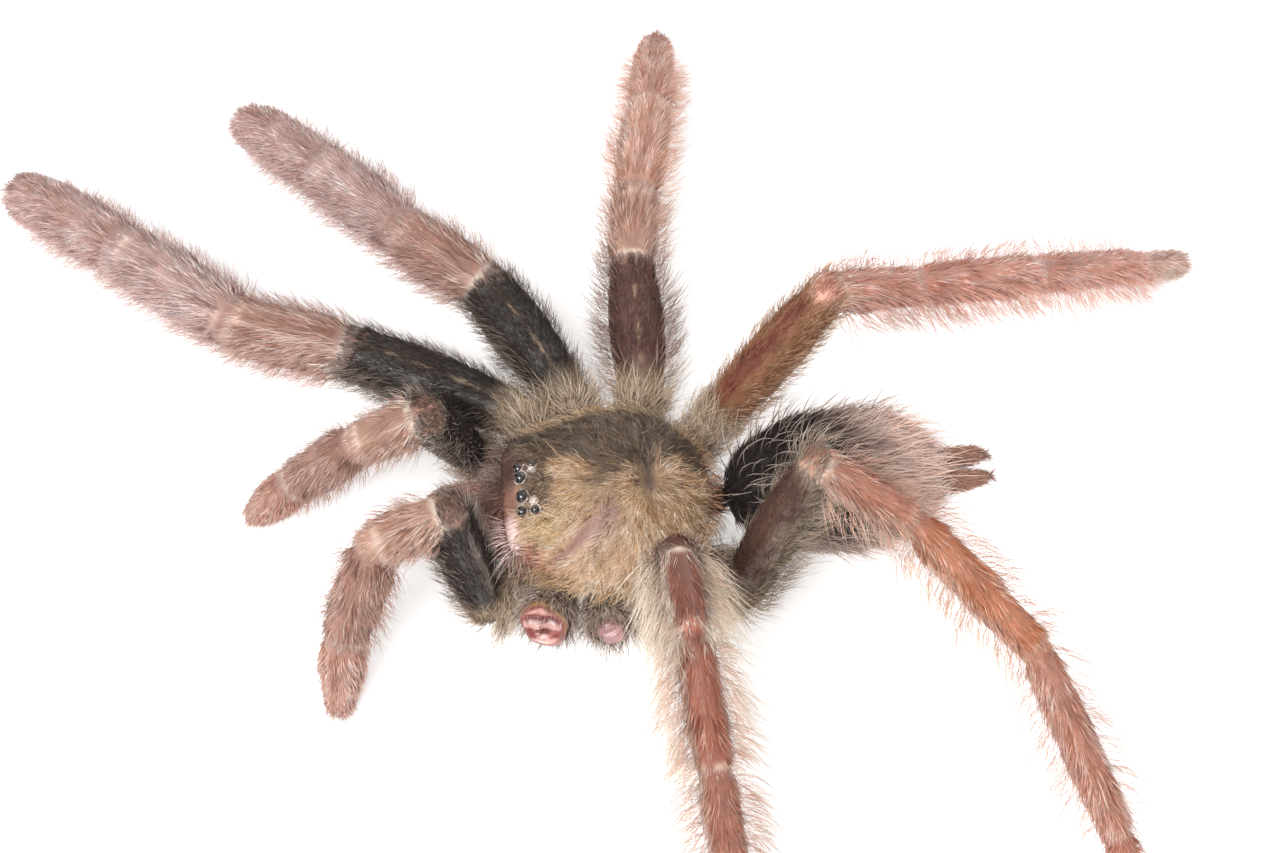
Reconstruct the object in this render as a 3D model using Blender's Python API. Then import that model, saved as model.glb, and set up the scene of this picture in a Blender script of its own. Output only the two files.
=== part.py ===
"""A life-size still model of a large tarantula, standing, with its two front left legs missing.

Every length below is in millimetres and every angle in degrees; the meshes are made in metres.
World axes: -Y is forward, +X is the spider's left and +Z is up. The body pieces are written in body
coordinates (left, forward, up), counted from the middle of the carapace at the level of its rim.
A leg is a chain of straight segments. Each has a yaw (0 straight out to its own side, 90 forward,
-90 backward) and a pitch (positive upwards), and neighbours are cut on the plane that halves the bend
between them. The feet are flat underneath, at the level of the floor.
"""

import math
from dataclasses import dataclass

import bmesh
import bpy
from mathutils import Matrix, Vector

MM = 0.001
GAP = 0.3
LIMB_SIDES = 10
LONG_SEGMENT = 11.0
SHARP_HALF_BEND = 0.3
LEFT = 1
RIGHT = -1

RIM_HEIGHT = 9.1
BODY_ROLL = 4.0

CARAPACE_LENGTH = 21.8
CARAPACE_WIDTH = 20.0
CARAPACE_FRONT_WIDTH = 17.4
CARAPACE_FRONT_BLUNT = 0.42
CARAPACE_FRONT_FLAT = 0.4
# The points of a ring crowd together over the blunt front: within this angle of it, by this power.
CARAPACE_CROWDED = 60.0
CARAPACE_CROWD_POWER = 2.0
CARAPACE_MIDDLE = -1.0
CARAPACE_TOP = 6.0
CARAPACE_FLOOR = 0.1
CLYPEUS_HEIGHT = 3.0
CLYPEUS_SPREAD = (0.5, 1.0)
REAR_RIM_HEIGHT = 1.0
SIDE_RIM_HEIGHT = 0.6
EYE_MOUND = (0.0, 7.8)
EYE_MOUND_HEIGHT = 1.5
EYE_MOUND_REACH = (2.9, 1.7)
FOVEA = (0.0, -4.4)
FOVEA_DEPTH = 0.8
FOVEA_REACH = (2.2, 1.1)
DOME_POWERS = (2.3, 0.85)
HEAD_GROOVE_FROM_FRONT = 62.0
HEAD_GROOVE_SPREAD = 9.0
HEAD_GROOVE_DEPTH = 0.45
CARAPACE_SIDES = 40
CARAPACE_RINGS = (0.99, 0.93, 0.84, 0.74, 0.62, 0.48, 0.34, 0.2, 0.08)

EYES = {
    "eye_front_middle": ((1.0, 8.35), 0.64),
    "eye_front_side": ((2.3, 8.45), 0.58),
    "eye_rear_side": ((2.4, 7.2), 0.46),
    "eye_rear_middle": ((1.65, 7.25), 0.32),
}
EYE_SUNK = 0.2
EYE_SOCKET_GAP = 0.15

# Level ovals of the breastplate, from below: (half width, front, rear), up.
STERNUM_SECTIONS = (
    ((2.3, 5.6, -5.2), -6.7),
    ((3.0, 6.9, -6.6), -6.1),
    ((3.1, 7.3, -6.8), -3.6),
    ((5.6, 8.0, -7.6), -2.1),
    ((8.2, 8.6, -8.2), -0.7),
    ((8.3, 8.7, -8.3), -GAP),
)

# Sections of a jaw: forward, up, half width, half height.
JAW_MIDDLE = 2.0
JAW_SECTIONS = (
    (9.3, -2.2, 1.5, 1.9),
    (10.6, -1.8, 1.75, 2.6),
    (12.2, -1.4, 1.82, 3.2),
    (14.0, -1.4, 1.82, 3.3),
    (15.6, -1.8, 1.75, 2.9),
    (16.7, -2.6, 1.5, 2.1),
    (17.2, -3.2, 0.8, 1.1),
)

# A fang bends round a point of (forward, up) under the jaw, and its tip turns inwards.
FANG_BEND = (13.4, -4.9)
FANG_BEND_REACH = (3.0, 2.1)
FANG_TURN = (-12.0, -150.0)
FANG_LEFT = (2.2, 1.7)
FANG_RADII = (0.7, 0.26)

PEDICEL_START = -8.9
PEDICEL_RADIUS = 1.1
ABDOMEN_FRONT = -11.9
ABDOMEN_REAR = -34.4
ABDOMEN_WIDTH = 15.0
ABDOMEN_HEIGHT = 13.2
ABDOMEN_SIDES = 20
ABDOMEN_RINGS = 12

# The abdomen's size along its length is (1 - offset ** first) ** second.
ABDOMEN_POWERS = (2.2, 0.55)
ABDOMEN_UP = (-0.6, 0.6)

SPINNERET_LENGTH = 4.6
SPINNERET_LEFT = (1.3, 1.25)
SPINNERET_UP = (0.7, 1.2)
SPINNERET_RADII = (1.1, 1.15, 1.0, 0.55)

# Sections of a coxa between its root and the hip: share of its length, half width, height over width.
COXA_ROOT_SECTIONS = ((0.0, 1.2, 1.45), (0.35, 1.55, 1.3))
COXA_MIDDLE_SECTION = (0.75, 1.15)
COXA_END_SECTION = (1.0, 2.1, 1.1)

TOE_PRESS = 0.6
TOE_PROFILE = ((0.6, 1.0), (0.28, 0.9), (0.08, 0.68), (0.0, 0.4))


@dataclass(frozen=True)
class Build:
    """Sizes shared by the limbs of one pair: radii are at the hip, at each joint and at the tip."""

    hip: tuple
    coxa_root: tuple
    lengths: tuple
    radii: tuple
    bulges: tuple
    coxa_width: float


@dataclass(frozen=True)
class Limb:
    """One limb in its pose. The last segment's pitch follows from where its tip meets the floor."""

    name: str
    build: Build
    side: int
    yaws: tuple
    pitches: tuple


LEG_1 = Build(
    hip=(11.4, 7.6, -2.0),
    coxa_root=(4.2, 4.0, -5.2),
    lengths=(19.0, 13.0, 16.0, 13.0, 8.8),
    radii=(2.5, 3.5, 3.6, 3.9, 3.8, 3.2),
    bulges=(0.8, 0.3, 0.4, 0.2, 0.2),
    coxa_width=1.9,
)
LEG_2 = Build(
    hip=(12.8, 2.3, -2.0),
    coxa_root=(4.6, 0.9, -5.2),
    lengths=(16.0, 11.5, 12.5, 11.5, 8.0),
    radii=(2.5, 3.4, 3.4, 3.7, 3.6, 3.1),
    bulges=(0.8, 0.3, 0.4, 0.2, 0.2),
    coxa_width=1.9,
)
LEG_3 = Build(
    hip=(12.7, -5.2, -2.2),
    coxa_root=(4.5, -2.3, -5.2),
    lengths=(15.5, 9.0, 12.5, 12.5, 8.2),
    radii=(2.5, 3.0, 3.0, 3.2, 2.9, 2.2),
    bulges=(0.8, 0.3, 0.5, 0.3, 0.2),
    coxa_width=1.9,
)
LEG_4 = Build(
    hip=(9.6, -12.8, -2.0),
    coxa_root=(3.7, -5.6, -5.2),
    lengths=(19.5, 10.5, 16.5, 19.0, 8.8),
    radii=(2.5, 3.0, 3.1, 3.1, 2.8, 2.2),
    bulges=(0.6, 0.3, 0.5, 0.5, 0.2),
    coxa_width=2.1,
)
PALP = Build(
    hip=(8.4, 12.8, -4.2),
    coxa_root=(3.2, 6.9, -5.8),
    lengths=(14.0, 7.1, 10.5, 9.8),
    radii=(2.1, 2.9, 2.8, 2.9, 2.4),
    bulges=(0.4, 0.2, 0.4, 0.2),
    coxa_width=1.7,
)

WALKING_SEGMENTS = (("coxa",), ("femur",), ("patella",), ("tibia",), ("metatarsus", "tarsus"))
PALP_SEGMENTS = (("coxa",), ("femur",), ("patella",), ("tibia",), ("tarsus",))
FOOT = "foot"

LIMBS = (
    Limb("leg_right_1", LEG_1, RIGHT, (63, 68, 48, 44, 44), (4, -1, -3, -13)),
    Limb("leg_right_2", LEG_2, RIGHT, (29, 48, 39, 35, 36), (5, 4, -6, -22)),
    Limb("leg_right_3", LEG_3, RIGHT, (-2, -9, -13, -10, -11), (6, 6, -3, -24)),
    Limb("leg_right_4", LEG_4, RIGHT, (-71, -75, -74, -69, -69), (56, -21, -21, -29)),
    Limb("leg_left_3", LEG_3, LEFT, (1, -1, -7, -9, -8), (91, 13, -39, -47)),
    Limb("leg_left_4", LEG_4, LEFT, (-120, -61, -42, -23, -23), (69, -20, -20, -30)),
    Limb("palp_right", PALP, RIGHT, (121, 94, 87, 85), (69, -25, -46)),
    Limb("palp_left", PALP, LEFT, (144, 73, 36, 21), (69, -7, -50)),
)

STUMPS = {"stump_left_1": LEG_1, "stump_left_2": LEG_2}
STUMP_BACK_SET = {"stump_left_1": 0.4, "stump_left_2": 1.6}
STUMP_RADII = {"stump_left_1": 2.5, "stump_left_2": 2.3}
# A stump's root: share of its length, half width, height over width; and its low round end: share of
# its length, share of its radius, height over width.
STUMP_ROOT_SECTIONS = ((0.0, 1.2, 1.45), (0.3, 1.5, 1.3))
STUMP_MIDDLE_SECTION = (0.62, 1.15)
STUMP_END_SECTIONS = ((0.85, 1.0, 1.05), (0.97, 1.0, 1.0), (1.03, 0.84, 1.0), (1.08, 0.5, 1.0))


@dataclass(frozen=True)
class Finish:
    """A plain finish: a colour in linear light, and how rough it is."""

    colour: tuple
    roughness: float


PINK_TAN_HAIR = Finish((0.34, 0.19, 0.14), 0.8)
BLACK_HAIR = Finish((0.03, 0.025, 0.022), 0.8)
RUST_HAIR = Finish((0.24, 0.09, 0.05), 0.8)
OLIVE_HAIR = Finish((0.25, 0.18, 0.09), 0.75)
BROWN_HAIR = Finish((0.09, 0.05, 0.035), 0.8)
RED_CUTICLE = Finish((0.16, 0.05, 0.035), 0.4)
PALE_MEMBRANE = Finish((0.45, 0.24, 0.2), 0.35)
BLACK_FANG = Finish((0.01, 0.008, 0.007), 0.2)
EYE_GLOSS = Finish((0.008, 0.008, 0.009), 0.08)


def clear_scene():
    """Remove whatever the file holds at the start."""
    for obj in list(bpy.data.objects):
        bpy.data.objects.remove(obj, do_unlink=True)


def new_collection(name):
    """Return a new collection of the scene."""
    collection = bpy.data.collections.new(name)
    bpy.context.scene.collection.children.link(collection)
    return collection


def material_for(name, finish):
    """Return a Principled material that belongs to one sub-part."""
    material = bpy.data.materials.new(name)
    material.use_nodes = True
    shader = material.node_tree.nodes["Principled BSDF"]
    shader.inputs["Base Color"].default_value = (*finish.colour, 1.0)
    shader.inputs["Roughness"].default_value = finish.roughness
    shader.inputs["Metallic"].default_value = 0.0
    return material


def lerp(start, end, share):
    """Return the value that lies this share of the way from start to end."""
    return start + (end - start) * share


def smooth_step(value, low, high):
    """Return 0 below low, 1 above high and a smooth rise between them."""
    share = min(1.0, max(0.0, (value - low) / (high - low)))
    return share * share * (3.0 - 2.0 * share)


def body_point(left, forward, up):
    """Turn body coordinates into a vector in the body frame's own axes."""
    return Vector((left, -forward, up))


def body_matrix():
    """Return the body frame: the rim's height above the floor, and the roll towards the left."""
    roll = Matrix.Rotation(math.radians(BODY_ROLL), 4, "Y")
    return Matrix.Translation((0.0, 0.0, RIM_HEIGHT)) @ roll


def world_point(left, forward, up):
    """Turn body coordinates into world millimetres."""
    return body_matrix() @ body_point(left, forward, up)


def loft(name, rings, finish, collection, parent):
    """Make one closed solid through rings of equal point counts, with a flat cap at each end."""
    shape = bmesh.new()
    loops = []
    for ring in rings:
        loops.append([shape.verts.new(point * MM) for point in ring])
    count = len(loops[0])
    for lower, upper in zip(loops, loops[1:]):
        for index in range(count):
            after = (index + 1) % count
            shape.faces.new((lower[index], lower[after], upper[after], upper[index]))
    shape.faces.new(loops[0])
    shape.faces.new(loops[-1])
    bmesh.ops.recalc_face_normals(shape, faces=shape.faces)
    return as_object(name, shape, finish, collection, parent)


def as_object(name, shape, finish, collection, parent):
    """Turn a bmesh into a smooth-shaded object with its own material, held by its parent."""
    mesh = bpy.data.meshes.new(name)
    shape.to_mesh(mesh)
    shape.free()
    mesh.shade_smooth()
    mesh.set_sharp_from_angle(angle=math.radians(50.0))
    mesh.materials.append(material_for(name, finish))
    obj = bpy.data.objects.new(name, mesh)
    collection.objects.link(obj)
    obj.parent = parent
    return obj


# ---------------------------------------------------------------- limbs


def direction(side, yaw, pitch):
    """Return the unit vector of a segment with this yaw and pitch."""
    turn = math.radians(yaw)
    rise = math.radians(pitch)
    flat = math.cos(rise)
    return Vector((side * flat * math.cos(turn), -flat * math.sin(turn), math.sin(rise)))


def side_axis(side, yaw):
    """Return the level axis across a segment with this yaw."""
    turn = math.radians(yaw)
    return Vector((-side * math.sin(turn), -math.cos(turn), 0.0))


@dataclass
class Station:
    """A section's frame: its middle, the way along, the axis across and the axis to the back."""

    middle: Vector
    along: Vector
    across: Vector
    back: Vector


def station(middle, along, across, side):
    """Return a frame square to the way along, from a rough axis across."""
    square = (across - along * across.dot(along)).normalized()
    return Station(middle, along, square, square.cross(along) * side)


def round_ring(frame, radius, count=LIMB_SIDES, flatten=1.0):
    """Return a ring of points in a station's plane; flatten scales its height."""
    ring = []
    for index in range(count):
        angle = math.tau * (index + 0.5) / count
        across = frame.across * (math.cos(angle) * radius)
        back = frame.back * (math.sin(angle) * radius * flatten)
        ring.append(frame.middle + across + back)
    return ring


@dataclass
class Joint:
    """The bend between two segments: its corner, half its angle, its plane and its section."""

    corner: Vector
    half_bend: float
    frame: Station
    outward: Vector
    radius: float
    reach: float

    def ring(self, shift):
        """Return the shared section, moved this far along the chain to leave room for a cut."""
        stretch = self.reach - self.radius
        middle = self.frame.middle + self.frame.along * shift
        ring = []
        for point in round_ring(self.frame, self.radius):
            arm = point - self.frame.middle
            ring.append(middle + arm + self.outward * (arm.dot(self.outward) / self.radius * stretch))
        return ring

    def clearance(self):
        """Return how far from the corner a segment's first square section stands."""
        return self.radius * math.tan(self.half_bend) + 0.8


def joint_between(corner, incoming, outgoing, across, side, radius):
    """Return the joint at a corner of the chain."""
    along = (incoming + outgoing).normalized()
    half_bend = incoming.angle(outgoing) / 2.0
    frame = station(corner, along, across, side)
    spread = incoming - outgoing
    outward = spread.normalized() if spread.length > 0.02 else frame.back
    inner = radius / math.cos(half_bend)
    outer = radius * lerp(1.0, 1.12, min(1.0, half_bend / 0.6))
    frame.middle = corner + outward * ((outer - inner) / 2.0)
    return Joint(corner, half_bend, frame, outward, radius, (inner + outer) / 2.0)


def eased(near, far):
    """Return a ring between two others, a little fuller than their mean."""
    middle = sum(near, Vector()) / len(near)
    middle = (middle + sum(far, Vector()) / len(far)) / 2.0
    return [middle + ((a + b) / 2.0 - middle) * 1.05 for a, b in zip(near, far)]


def on_floor(ring):
    """Press the points that would lie under the floor flat onto it."""
    return [Vector((point.x, point.y, max(0.0, point.z))) for point in ring]


def segment_rings(start, end, along, across, side, radii, bulge, steps):
    """Return the rings of one segment between two joints, without the joints' own rings."""
    length = (end.corner - start.corner).length
    first = min(start.clearance(), 0.45 * length)
    last = length - min(end.clearance(), 0.45 * length)
    rings = []
    for index in range(steps):
        share = index / (steps - 1)
        reach = lerp(first, last, share)
        radius = lerp(radii[0], radii[1], reach / length) + bulge * math.sin(math.pi * share)
        rings.append(round_ring(station(start.corner + along * reach, along, across, side), radius))
    return rings


def toe_rings(start, length, along, across, side, radii, bulge):
    """Return the rings of the last segment, which ends in a blunt round pad."""
    rings = []
    first = start.clearance()
    for share in (0.0, 0.35, 0.7):
        reach = lerp(first, length - 0.6 * radii[1], share)
        radius = lerp(radii[0], radii[1], reach / length) + bulge * math.sin(math.pi * share)
        rings.append(round_ring(station(start.corner + along * reach, along, across, side), radius))
    for back_off, share in TOE_PROFILE:
        middle = start.corner + along * (length - back_off * radii[1])
        rings.append(round_ring(station(middle, along, across, side), radii[1] * share))
    return rings


def coxa_rings(root, end, side, width):
    """Return the rings of a coxa: a wedge that widens from the breastplate to the hip."""
    way = end.corner - root
    along = way.normalized()
    across = side_axis(side, math.degrees(math.atan2(-along.y, side * along.x)))
    rings = []
    reach = way.length - min(end.clearance(), 0.45 * way.length)
    middle_share, middle_height = COXA_MIDDLE_SECTION
    sections = (*COXA_ROOT_SECTIONS, (middle_share, width, middle_height), COXA_END_SECTION)
    for share, half_width, height in sections:
        middle = root + along * (reach * share)
        rings.append(round_ring(station(middle, along, across, side), half_width, flatten=height))
    return rings


def toe_drop(ankle, length, radius):
    """Return the last segment's pitch, so that its round end presses a little into the floor."""
    drop = -0.5
    for _ in range(6):
        depth = max(share * math.cos(drop) + back_off * math.sin(drop) for back_off, share in TOE_PROFILE)
        drop = math.asin((depth * radius - TOE_PRESS - ankle.z) / length)
    return math.degrees(drop)


def limb_chain(limb):
    """Return the corners, ways along and axes across of a limb, from its coxa's root to its tip."""
    build = limb.build
    side = limb.side
    root = world_point(side * build.coxa_root[0], *build.coxa_root[1:])
    corners = [root, world_point(side * build.hip[0], *build.hip[1:])]
    ways = [(corners[1] - root).normalized()]
    yaws = [math.degrees(math.atan2(-ways[0].y, side * ways[0].x)), *limb.yaws]
    for length, yaw, pitch in zip(build.lengths, limb.yaws, limb.pitches):
        way = direction(side, yaw, pitch)
        ways.append(way)
        corners.append(corners[-1] + way * length)
    drop = toe_drop(corners[-1], build.lengths[-1], build.radii[-1])
    ways.append(direction(side, limb.yaws[-1], drop))
    corners.append(corners[-1] + ways[-1] * build.lengths[-1])
    return corners, ways, [side_axis(side, yaw) for yaw in yaws]


def build_limb(limb, finishes, collection, parent):
    """Make the nodes of one limb, cut apart at its joints."""
    side = limb.side
    build = limb.build
    corners, ways, acrosses = limb_chain(limb)
    joints = []
    for index in range(1, len(ways)):
        across = (acrosses[index - 1] + acrosses[index]).normalized()
        radius = build.radii[index - 1]
        joints.append(joint_between(corners[index], ways[index - 1], ways[index], across, side, radius))

    groups = WALKING_SEGMENTS if len(build.lengths) == 5 else PALP_SEGMENTS
    number = 0
    for group in groups:
        name = f"{limb.name}_{group[0] if len(group) == 1 else FOOT}"
        rings = [joints[number - 1].ring(GAP / 2.0)] if number else []
        for part in group:
            along = ways[number]
            across = acrosses[number]
            ends = build.radii[number - 1:number + 1]
            if number == 0:
                body = coxa_rings(corners[0], joints[0], side, build.coxa_width)
            elif number == len(ways) - 1:
                body = toe_rings(joints[-1], build.lengths[-1], along, across, side, ends, build.bulges[-1])
            else:
                steps = 4 if build.lengths[number - 1] > LONG_SEGMENT else 3
                between = (joints[number - 1], joints[number])
                body = segment_rings(*between, along, across, side, ends, build.bulges[number - 1], steps)
            if number and joints[number - 1].half_bend > SHARP_HALF_BEND:
                body.insert(0, eased(rings[-1], body[0]))
            rings.extend(body)
            if number < len(ways) - 1:
                joint = joints[number]
                # Only the last part of a node is cut off; the foot's two parts meet in one ring.
                end = joint.ring(-GAP / 2.0 if part == group[-1] else 0.0)
                if joint.half_bend > SHARP_HALF_BEND:
                    rings.append(eased(end, body[-1]))
                rings.append(end)
            number += 1
        loft(name, [on_floor(ring) for ring in rings], finishes[group[0]], collection, parent)


def build_stump(name, build, collection, parent):
    """Make the healed coxa of a missing leg: a wedge that ends in a low round membrane."""
    left, forward, up = build.hip
    root = world_point(*build.coxa_root)
    tip = world_point(left, forward - STUMP_BACK_SET[name], up)
    along = (tip - root).normalized()
    across = side_axis(LEFT, math.degrees(math.atan2(-along.y, along.x)))
    length = (tip - root).length
    radius = STUMP_RADII[name]
    middle_share, middle_height = STUMP_MIDDLE_SECTION
    ends = ((share, radius * size, height) for share, size, height in STUMP_END_SECTIONS)
    sections = (*STUMP_ROOT_SECTIONS, (middle_share, build.coxa_width, middle_height), *ends)
    rings = []
    for share, half_width, height in sections:
        frame = station(root + along * (length * share), along, across, LEFT)
        rings.append(round_ring(frame, half_width, flatten=height))
    loft(name, rings, PALE_MEMBRANE, collection, parent)


# ---------------------------------------------------------------- body


def carapace_outline(turn):
    """Return (left, forward, rim height) on the carapace's edge; a turn of 0 is the front."""
    angle = crowded(turn)
    ahead = math.cos(angle)
    narrow = smooth_step(ahead, -0.1, 1.0)
    half_width = lerp(CARAPACE_WIDTH, CARAPACE_FRONT_WIDTH, narrow) / 2.0
    blunt = math.copysign(abs(math.sin(angle)) ** lerp(1.0, CARAPACE_FRONT_BLUNT, narrow), math.sin(angle))
    half_length = CARAPACE_LENGTH / 2.0
    reach = half_length - CARAPACE_MIDDLE if ahead > 0 else half_length + CARAPACE_MIDDLE
    forward = CARAPACE_MIDDLE + reach * ahead - CARAPACE_FRONT_FLAT * max(0.0, ahead) ** 8.0
    rim = lerp(SIDE_RIM_HEIGHT, CLYPEUS_HEIGHT, smooth_step(ahead, *CLYPEUS_SPREAD))
    rim = lerp(rim, REAR_RIM_HEIGHT, smooth_step(-ahead, 0.5, 1.0))
    return half_width * blunt, forward, rim


def crowded(turn):
    """Return the turn round the carapace, changed so that even steps of it crowd over the front."""
    from_front = math.atan2(math.sin(turn), math.cos(turn))
    limit = math.radians(CARAPACE_CROWDED)
    if abs(from_front) > limit:
        return from_front
    return math.copysign(limit * (abs(from_front) / limit) ** CARAPACE_CROWD_POWER, from_front)


def carapace_height(turn, share):
    """Return the height of the carapace's back, share being 0 in its middle and 1 at its rim."""
    left, forward, rim = carapace_outline(turn)
    dome = (1.0 - share ** DOME_POWERS[0]) ** DOME_POWERS[1]
    height = lerp(rim, CARAPACE_TOP, dome)
    left *= share
    forward = lerp(CARAPACE_MIDDLE, forward, share)
    mound = oval_distance(left, forward, EYE_MOUND, EYE_MOUND_REACH)
    pit = oval_distance(left, forward, FOVEA, FOVEA_REACH)
    height += EYE_MOUND_HEIGHT * math.exp(-(mound ** 4.0))
    height -= FOVEA_DEPTH * math.exp(-(pit ** 2.0))
    off_groove = (math.degrees(abs(crowded(turn))) - HEAD_GROOVE_FROM_FRONT) / HEAD_GROOVE_SPREAD
    return height - HEAD_GROOVE_DEPTH * math.exp(-(off_groove ** 2.0)) * math.sin(math.pi * share) ** 2.0


def oval_distance(left, forward, middle, reach):
    """Return how far a point is from an oval's middle, as a share of the oval's reach."""
    return math.hypot((left - middle[0]) / reach[0], (forward - middle[1]) / reach[1])


def carapace_ring(share):
    """Return one ring of the carapace's back."""
    ring = []
    for index in range(CARAPACE_SIDES):
        turn = math.tau * index / CARAPACE_SIDES
        left, forward, _ = carapace_outline(turn)
        height = carapace_height(turn, share)
        ring.append(body_point(left * share, lerp(CARAPACE_MIDDLE, forward, share), height))
    return ring


def carapace_under_ring(share, lift):
    """Return one ring of the carapace's underside."""
    ring = []
    for index in range(CARAPACE_SIDES):
        left, forward, rim = carapace_outline(math.tau * index / CARAPACE_SIDES)
        height = lerp(CARAPACE_FLOOR, rim, lift)
        ring.append(body_point(left * share, lerp(CARAPACE_MIDDLE, forward, share), height))
    return ring


def surface_height(left, forward):
    """Return the height of the carapace's back above a point on the left, ahead of its middle."""
    low = 0.0
    high = math.pi / 2.0
    for step in range(30):
        turn = (low + high) / 2.0
        edge_left, edge_forward, _ = carapace_outline(turn)
        share = (forward - CARAPACE_MIDDLE) / (edge_forward - CARAPACE_MIDDLE)
        if edge_left * share < left:
            low = turn
        else:
            high = turn
    return carapace_height(turn, share)


def build_carapace(collection, cutters, parent):
    """Make the back shield, with a socket for each eye."""
    rings = [carapace_under_ring(0.4, 0.0), carapace_under_ring(0.86, 0.3), carapace_under_ring(1.0, 0.75)]
    rings.extend(carapace_ring(share) for share in CARAPACE_RINGS)
    carapace = loft("carapace", rings, OLIVE_HAIR, collection, parent)
    sockets = carapace.modifiers.new("eye_sockets", "BOOLEAN")
    sockets.operation = "DIFFERENCE"
    sockets.operand_type = "COLLECTION"
    sockets.collection = cutters
    sockets.solver = "EXACT"


def ball(name, middle, radius, finish, collection, parent):
    """Make a small ball with its middle at a point of the body."""
    shape = bmesh.new()
    bmesh.ops.create_uvsphere(shape, u_segments=10, v_segments=6, radius=radius * MM)
    obj = as_object(name, shape, finish, collection, parent)
    obj.location = middle * MM
    return obj


def build_eyes(collection, cutters, parent):
    """Make the eight eyes and the cutters of their sockets."""
    for name, ((left, forward), radius) in EYES.items():
        for side, side_name in ((LEFT, "left"), (RIGHT, "right")):
            height = surface_height(left, forward)
            middle = body_point(side * left, forward, height - EYE_SUNK * radius)
            ball(f"{name}_{side_name}", middle, radius, EYE_GLOSS, collection, parent)
            socket = ball(
                f"socket_{name}_{side_name}", middle, radius + EYE_SOCKET_GAP, EYE_GLOSS, cutters, parent
            )
            socket.hide_render = True
            socket.display_type = "WIRE"


def level_ring(outline, up, count=20):
    """Return a level oval ring: outline gives half its width, and where its front and rear are."""
    half_width, front, rear = outline
    middle = (front + rear) / 2.0
    half_length = (front - rear) / 2.0
    ring = []
    for index in range(count):
        angle = math.tau * index / count
        ring.append(body_point(half_width * math.sin(angle), middle + half_length * math.cos(angle), up))
    return ring


def build_sternum(collection, parent):
    """Make the breastplate with the core of the trunk above it."""
    rings = [level_ring(outline, up) for outline, up in STERNUM_SECTIONS]
    loft("sternum", rings, BROWN_HAIR, collection, parent)


def path_rings(sections, count):
    """Return rings along a path; a section is (left, forward, up, half width, half height)."""
    middles = [body_point(*section[:3]) for section in sections]
    rings = []
    for index, section in enumerate(sections):
        before = middles[max(0, index - 1)]
        after = middles[min(len(middles) - 1, index + 1)]
        along = (after - before).normalized()
        frame = station(middles[index], along, Vector((1.0, 0.0, 0.0)), LEFT)
        rings.append(round_ring(frame, section[3], count, section[4] / section[3]))
    return rings


def build_jaws(collection, parent):
    """Make the two chelicerae and the fangs folded under them."""
    for side, side_name in ((LEFT, "left"), (RIGHT, "right")):
        jaw = [(side * JAW_MIDDLE, *section) for section in JAW_SECTIONS]
        loft(f"chelicera_{side_name}", path_rings(jaw, 14), BROWN_HAIR, collection, parent)
        fang = []
        for index in range(7):
            share = index / 6.0
            turn = math.radians(lerp(*FANG_TURN, share))
            forward = FANG_BEND[0] + FANG_BEND_REACH[0] * math.cos(turn)
            up = FANG_BEND[1] + FANG_BEND_REACH[1] * math.sin(turn)
            radius = lerp(*FANG_RADII, share)
            fang.append((side * lerp(*FANG_LEFT, share), forward, up, radius, radius))
        loft(f"fang_{side_name}", path_rings(fang, 8), BLACK_FANG, collection, parent)


def build_abdomen(collection, parent):
    """Make the abdomen, a lengthened egg, with the narrow waist that joins it to the trunk."""
    sections = [
        (0.0, PEDICEL_START, -1.7, PEDICEL_RADIUS, PEDICEL_RADIUS),
        (0.0, ABDOMEN_FRONT + 0.6, -1.4, PEDICEL_RADIUS, PEDICEL_RADIUS),
    ]
    for index in range(1, ABDOMEN_RINGS + 1):
        share = index / (ABDOMEN_RINGS + 1)
        eased_share = 0.5 - 0.5 * math.cos(math.pi * share)
        forward = lerp(ABDOMEN_FRONT, ABDOMEN_REAR, eased_share)
        offset = abs(2.0 * eased_share ** 1.05 - 1.0)
        size = (1.0 - offset ** ABDOMEN_POWERS[0]) ** ABDOMEN_POWERS[1]
        up = lerp(*ABDOMEN_UP, smooth_step(share, 0.0, 0.45))
        sections.append((0.0, forward, up, ABDOMEN_WIDTH / 2.0 * size, ABDOMEN_HEIGHT / 2.0 * size))
    loft("abdomen", path_rings(sections, ABDOMEN_SIDES), BROWN_HAIR, collection, parent)


def build_spinnerets(collection, parent):
    """Make the pair of long spinnerets at the tip of the abdomen."""
    for side, side_name in ((LEFT, "left"), (RIGHT, "right")):
        sections = []
        for index, radius in enumerate(SPINNERET_RADII):
            share = index / (len(SPINNERET_RADII) - 1)
            left = side * lerp(*SPINNERET_LEFT, share)
            forward = ABDOMEN_REAR - 0.05 - SPINNERET_LENGTH * share
            sections.append((left, forward, lerp(*SPINNERET_UP, share), radius, radius))
        rings = path_rings(sections, LIMB_SIDES)
        loft(f"spinneret_{side_name}", rings, BROWN_HAIR, collection, parent)


def bounds_middle(objects):
    """Return the middle of the objects' common box, level with the floor."""
    points = []
    for obj in objects:
        points.extend(obj.matrix_world @ vertex.co for vertex in obj.data.vertices)
    middle_x = (min(point.x for point in points) + max(point.x for point in points)) / 2.0
    middle_y = (min(point.y for point in points) + max(point.y for point in points)) / 2.0
    return Vector((middle_x, middle_y, 0.0))


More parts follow.
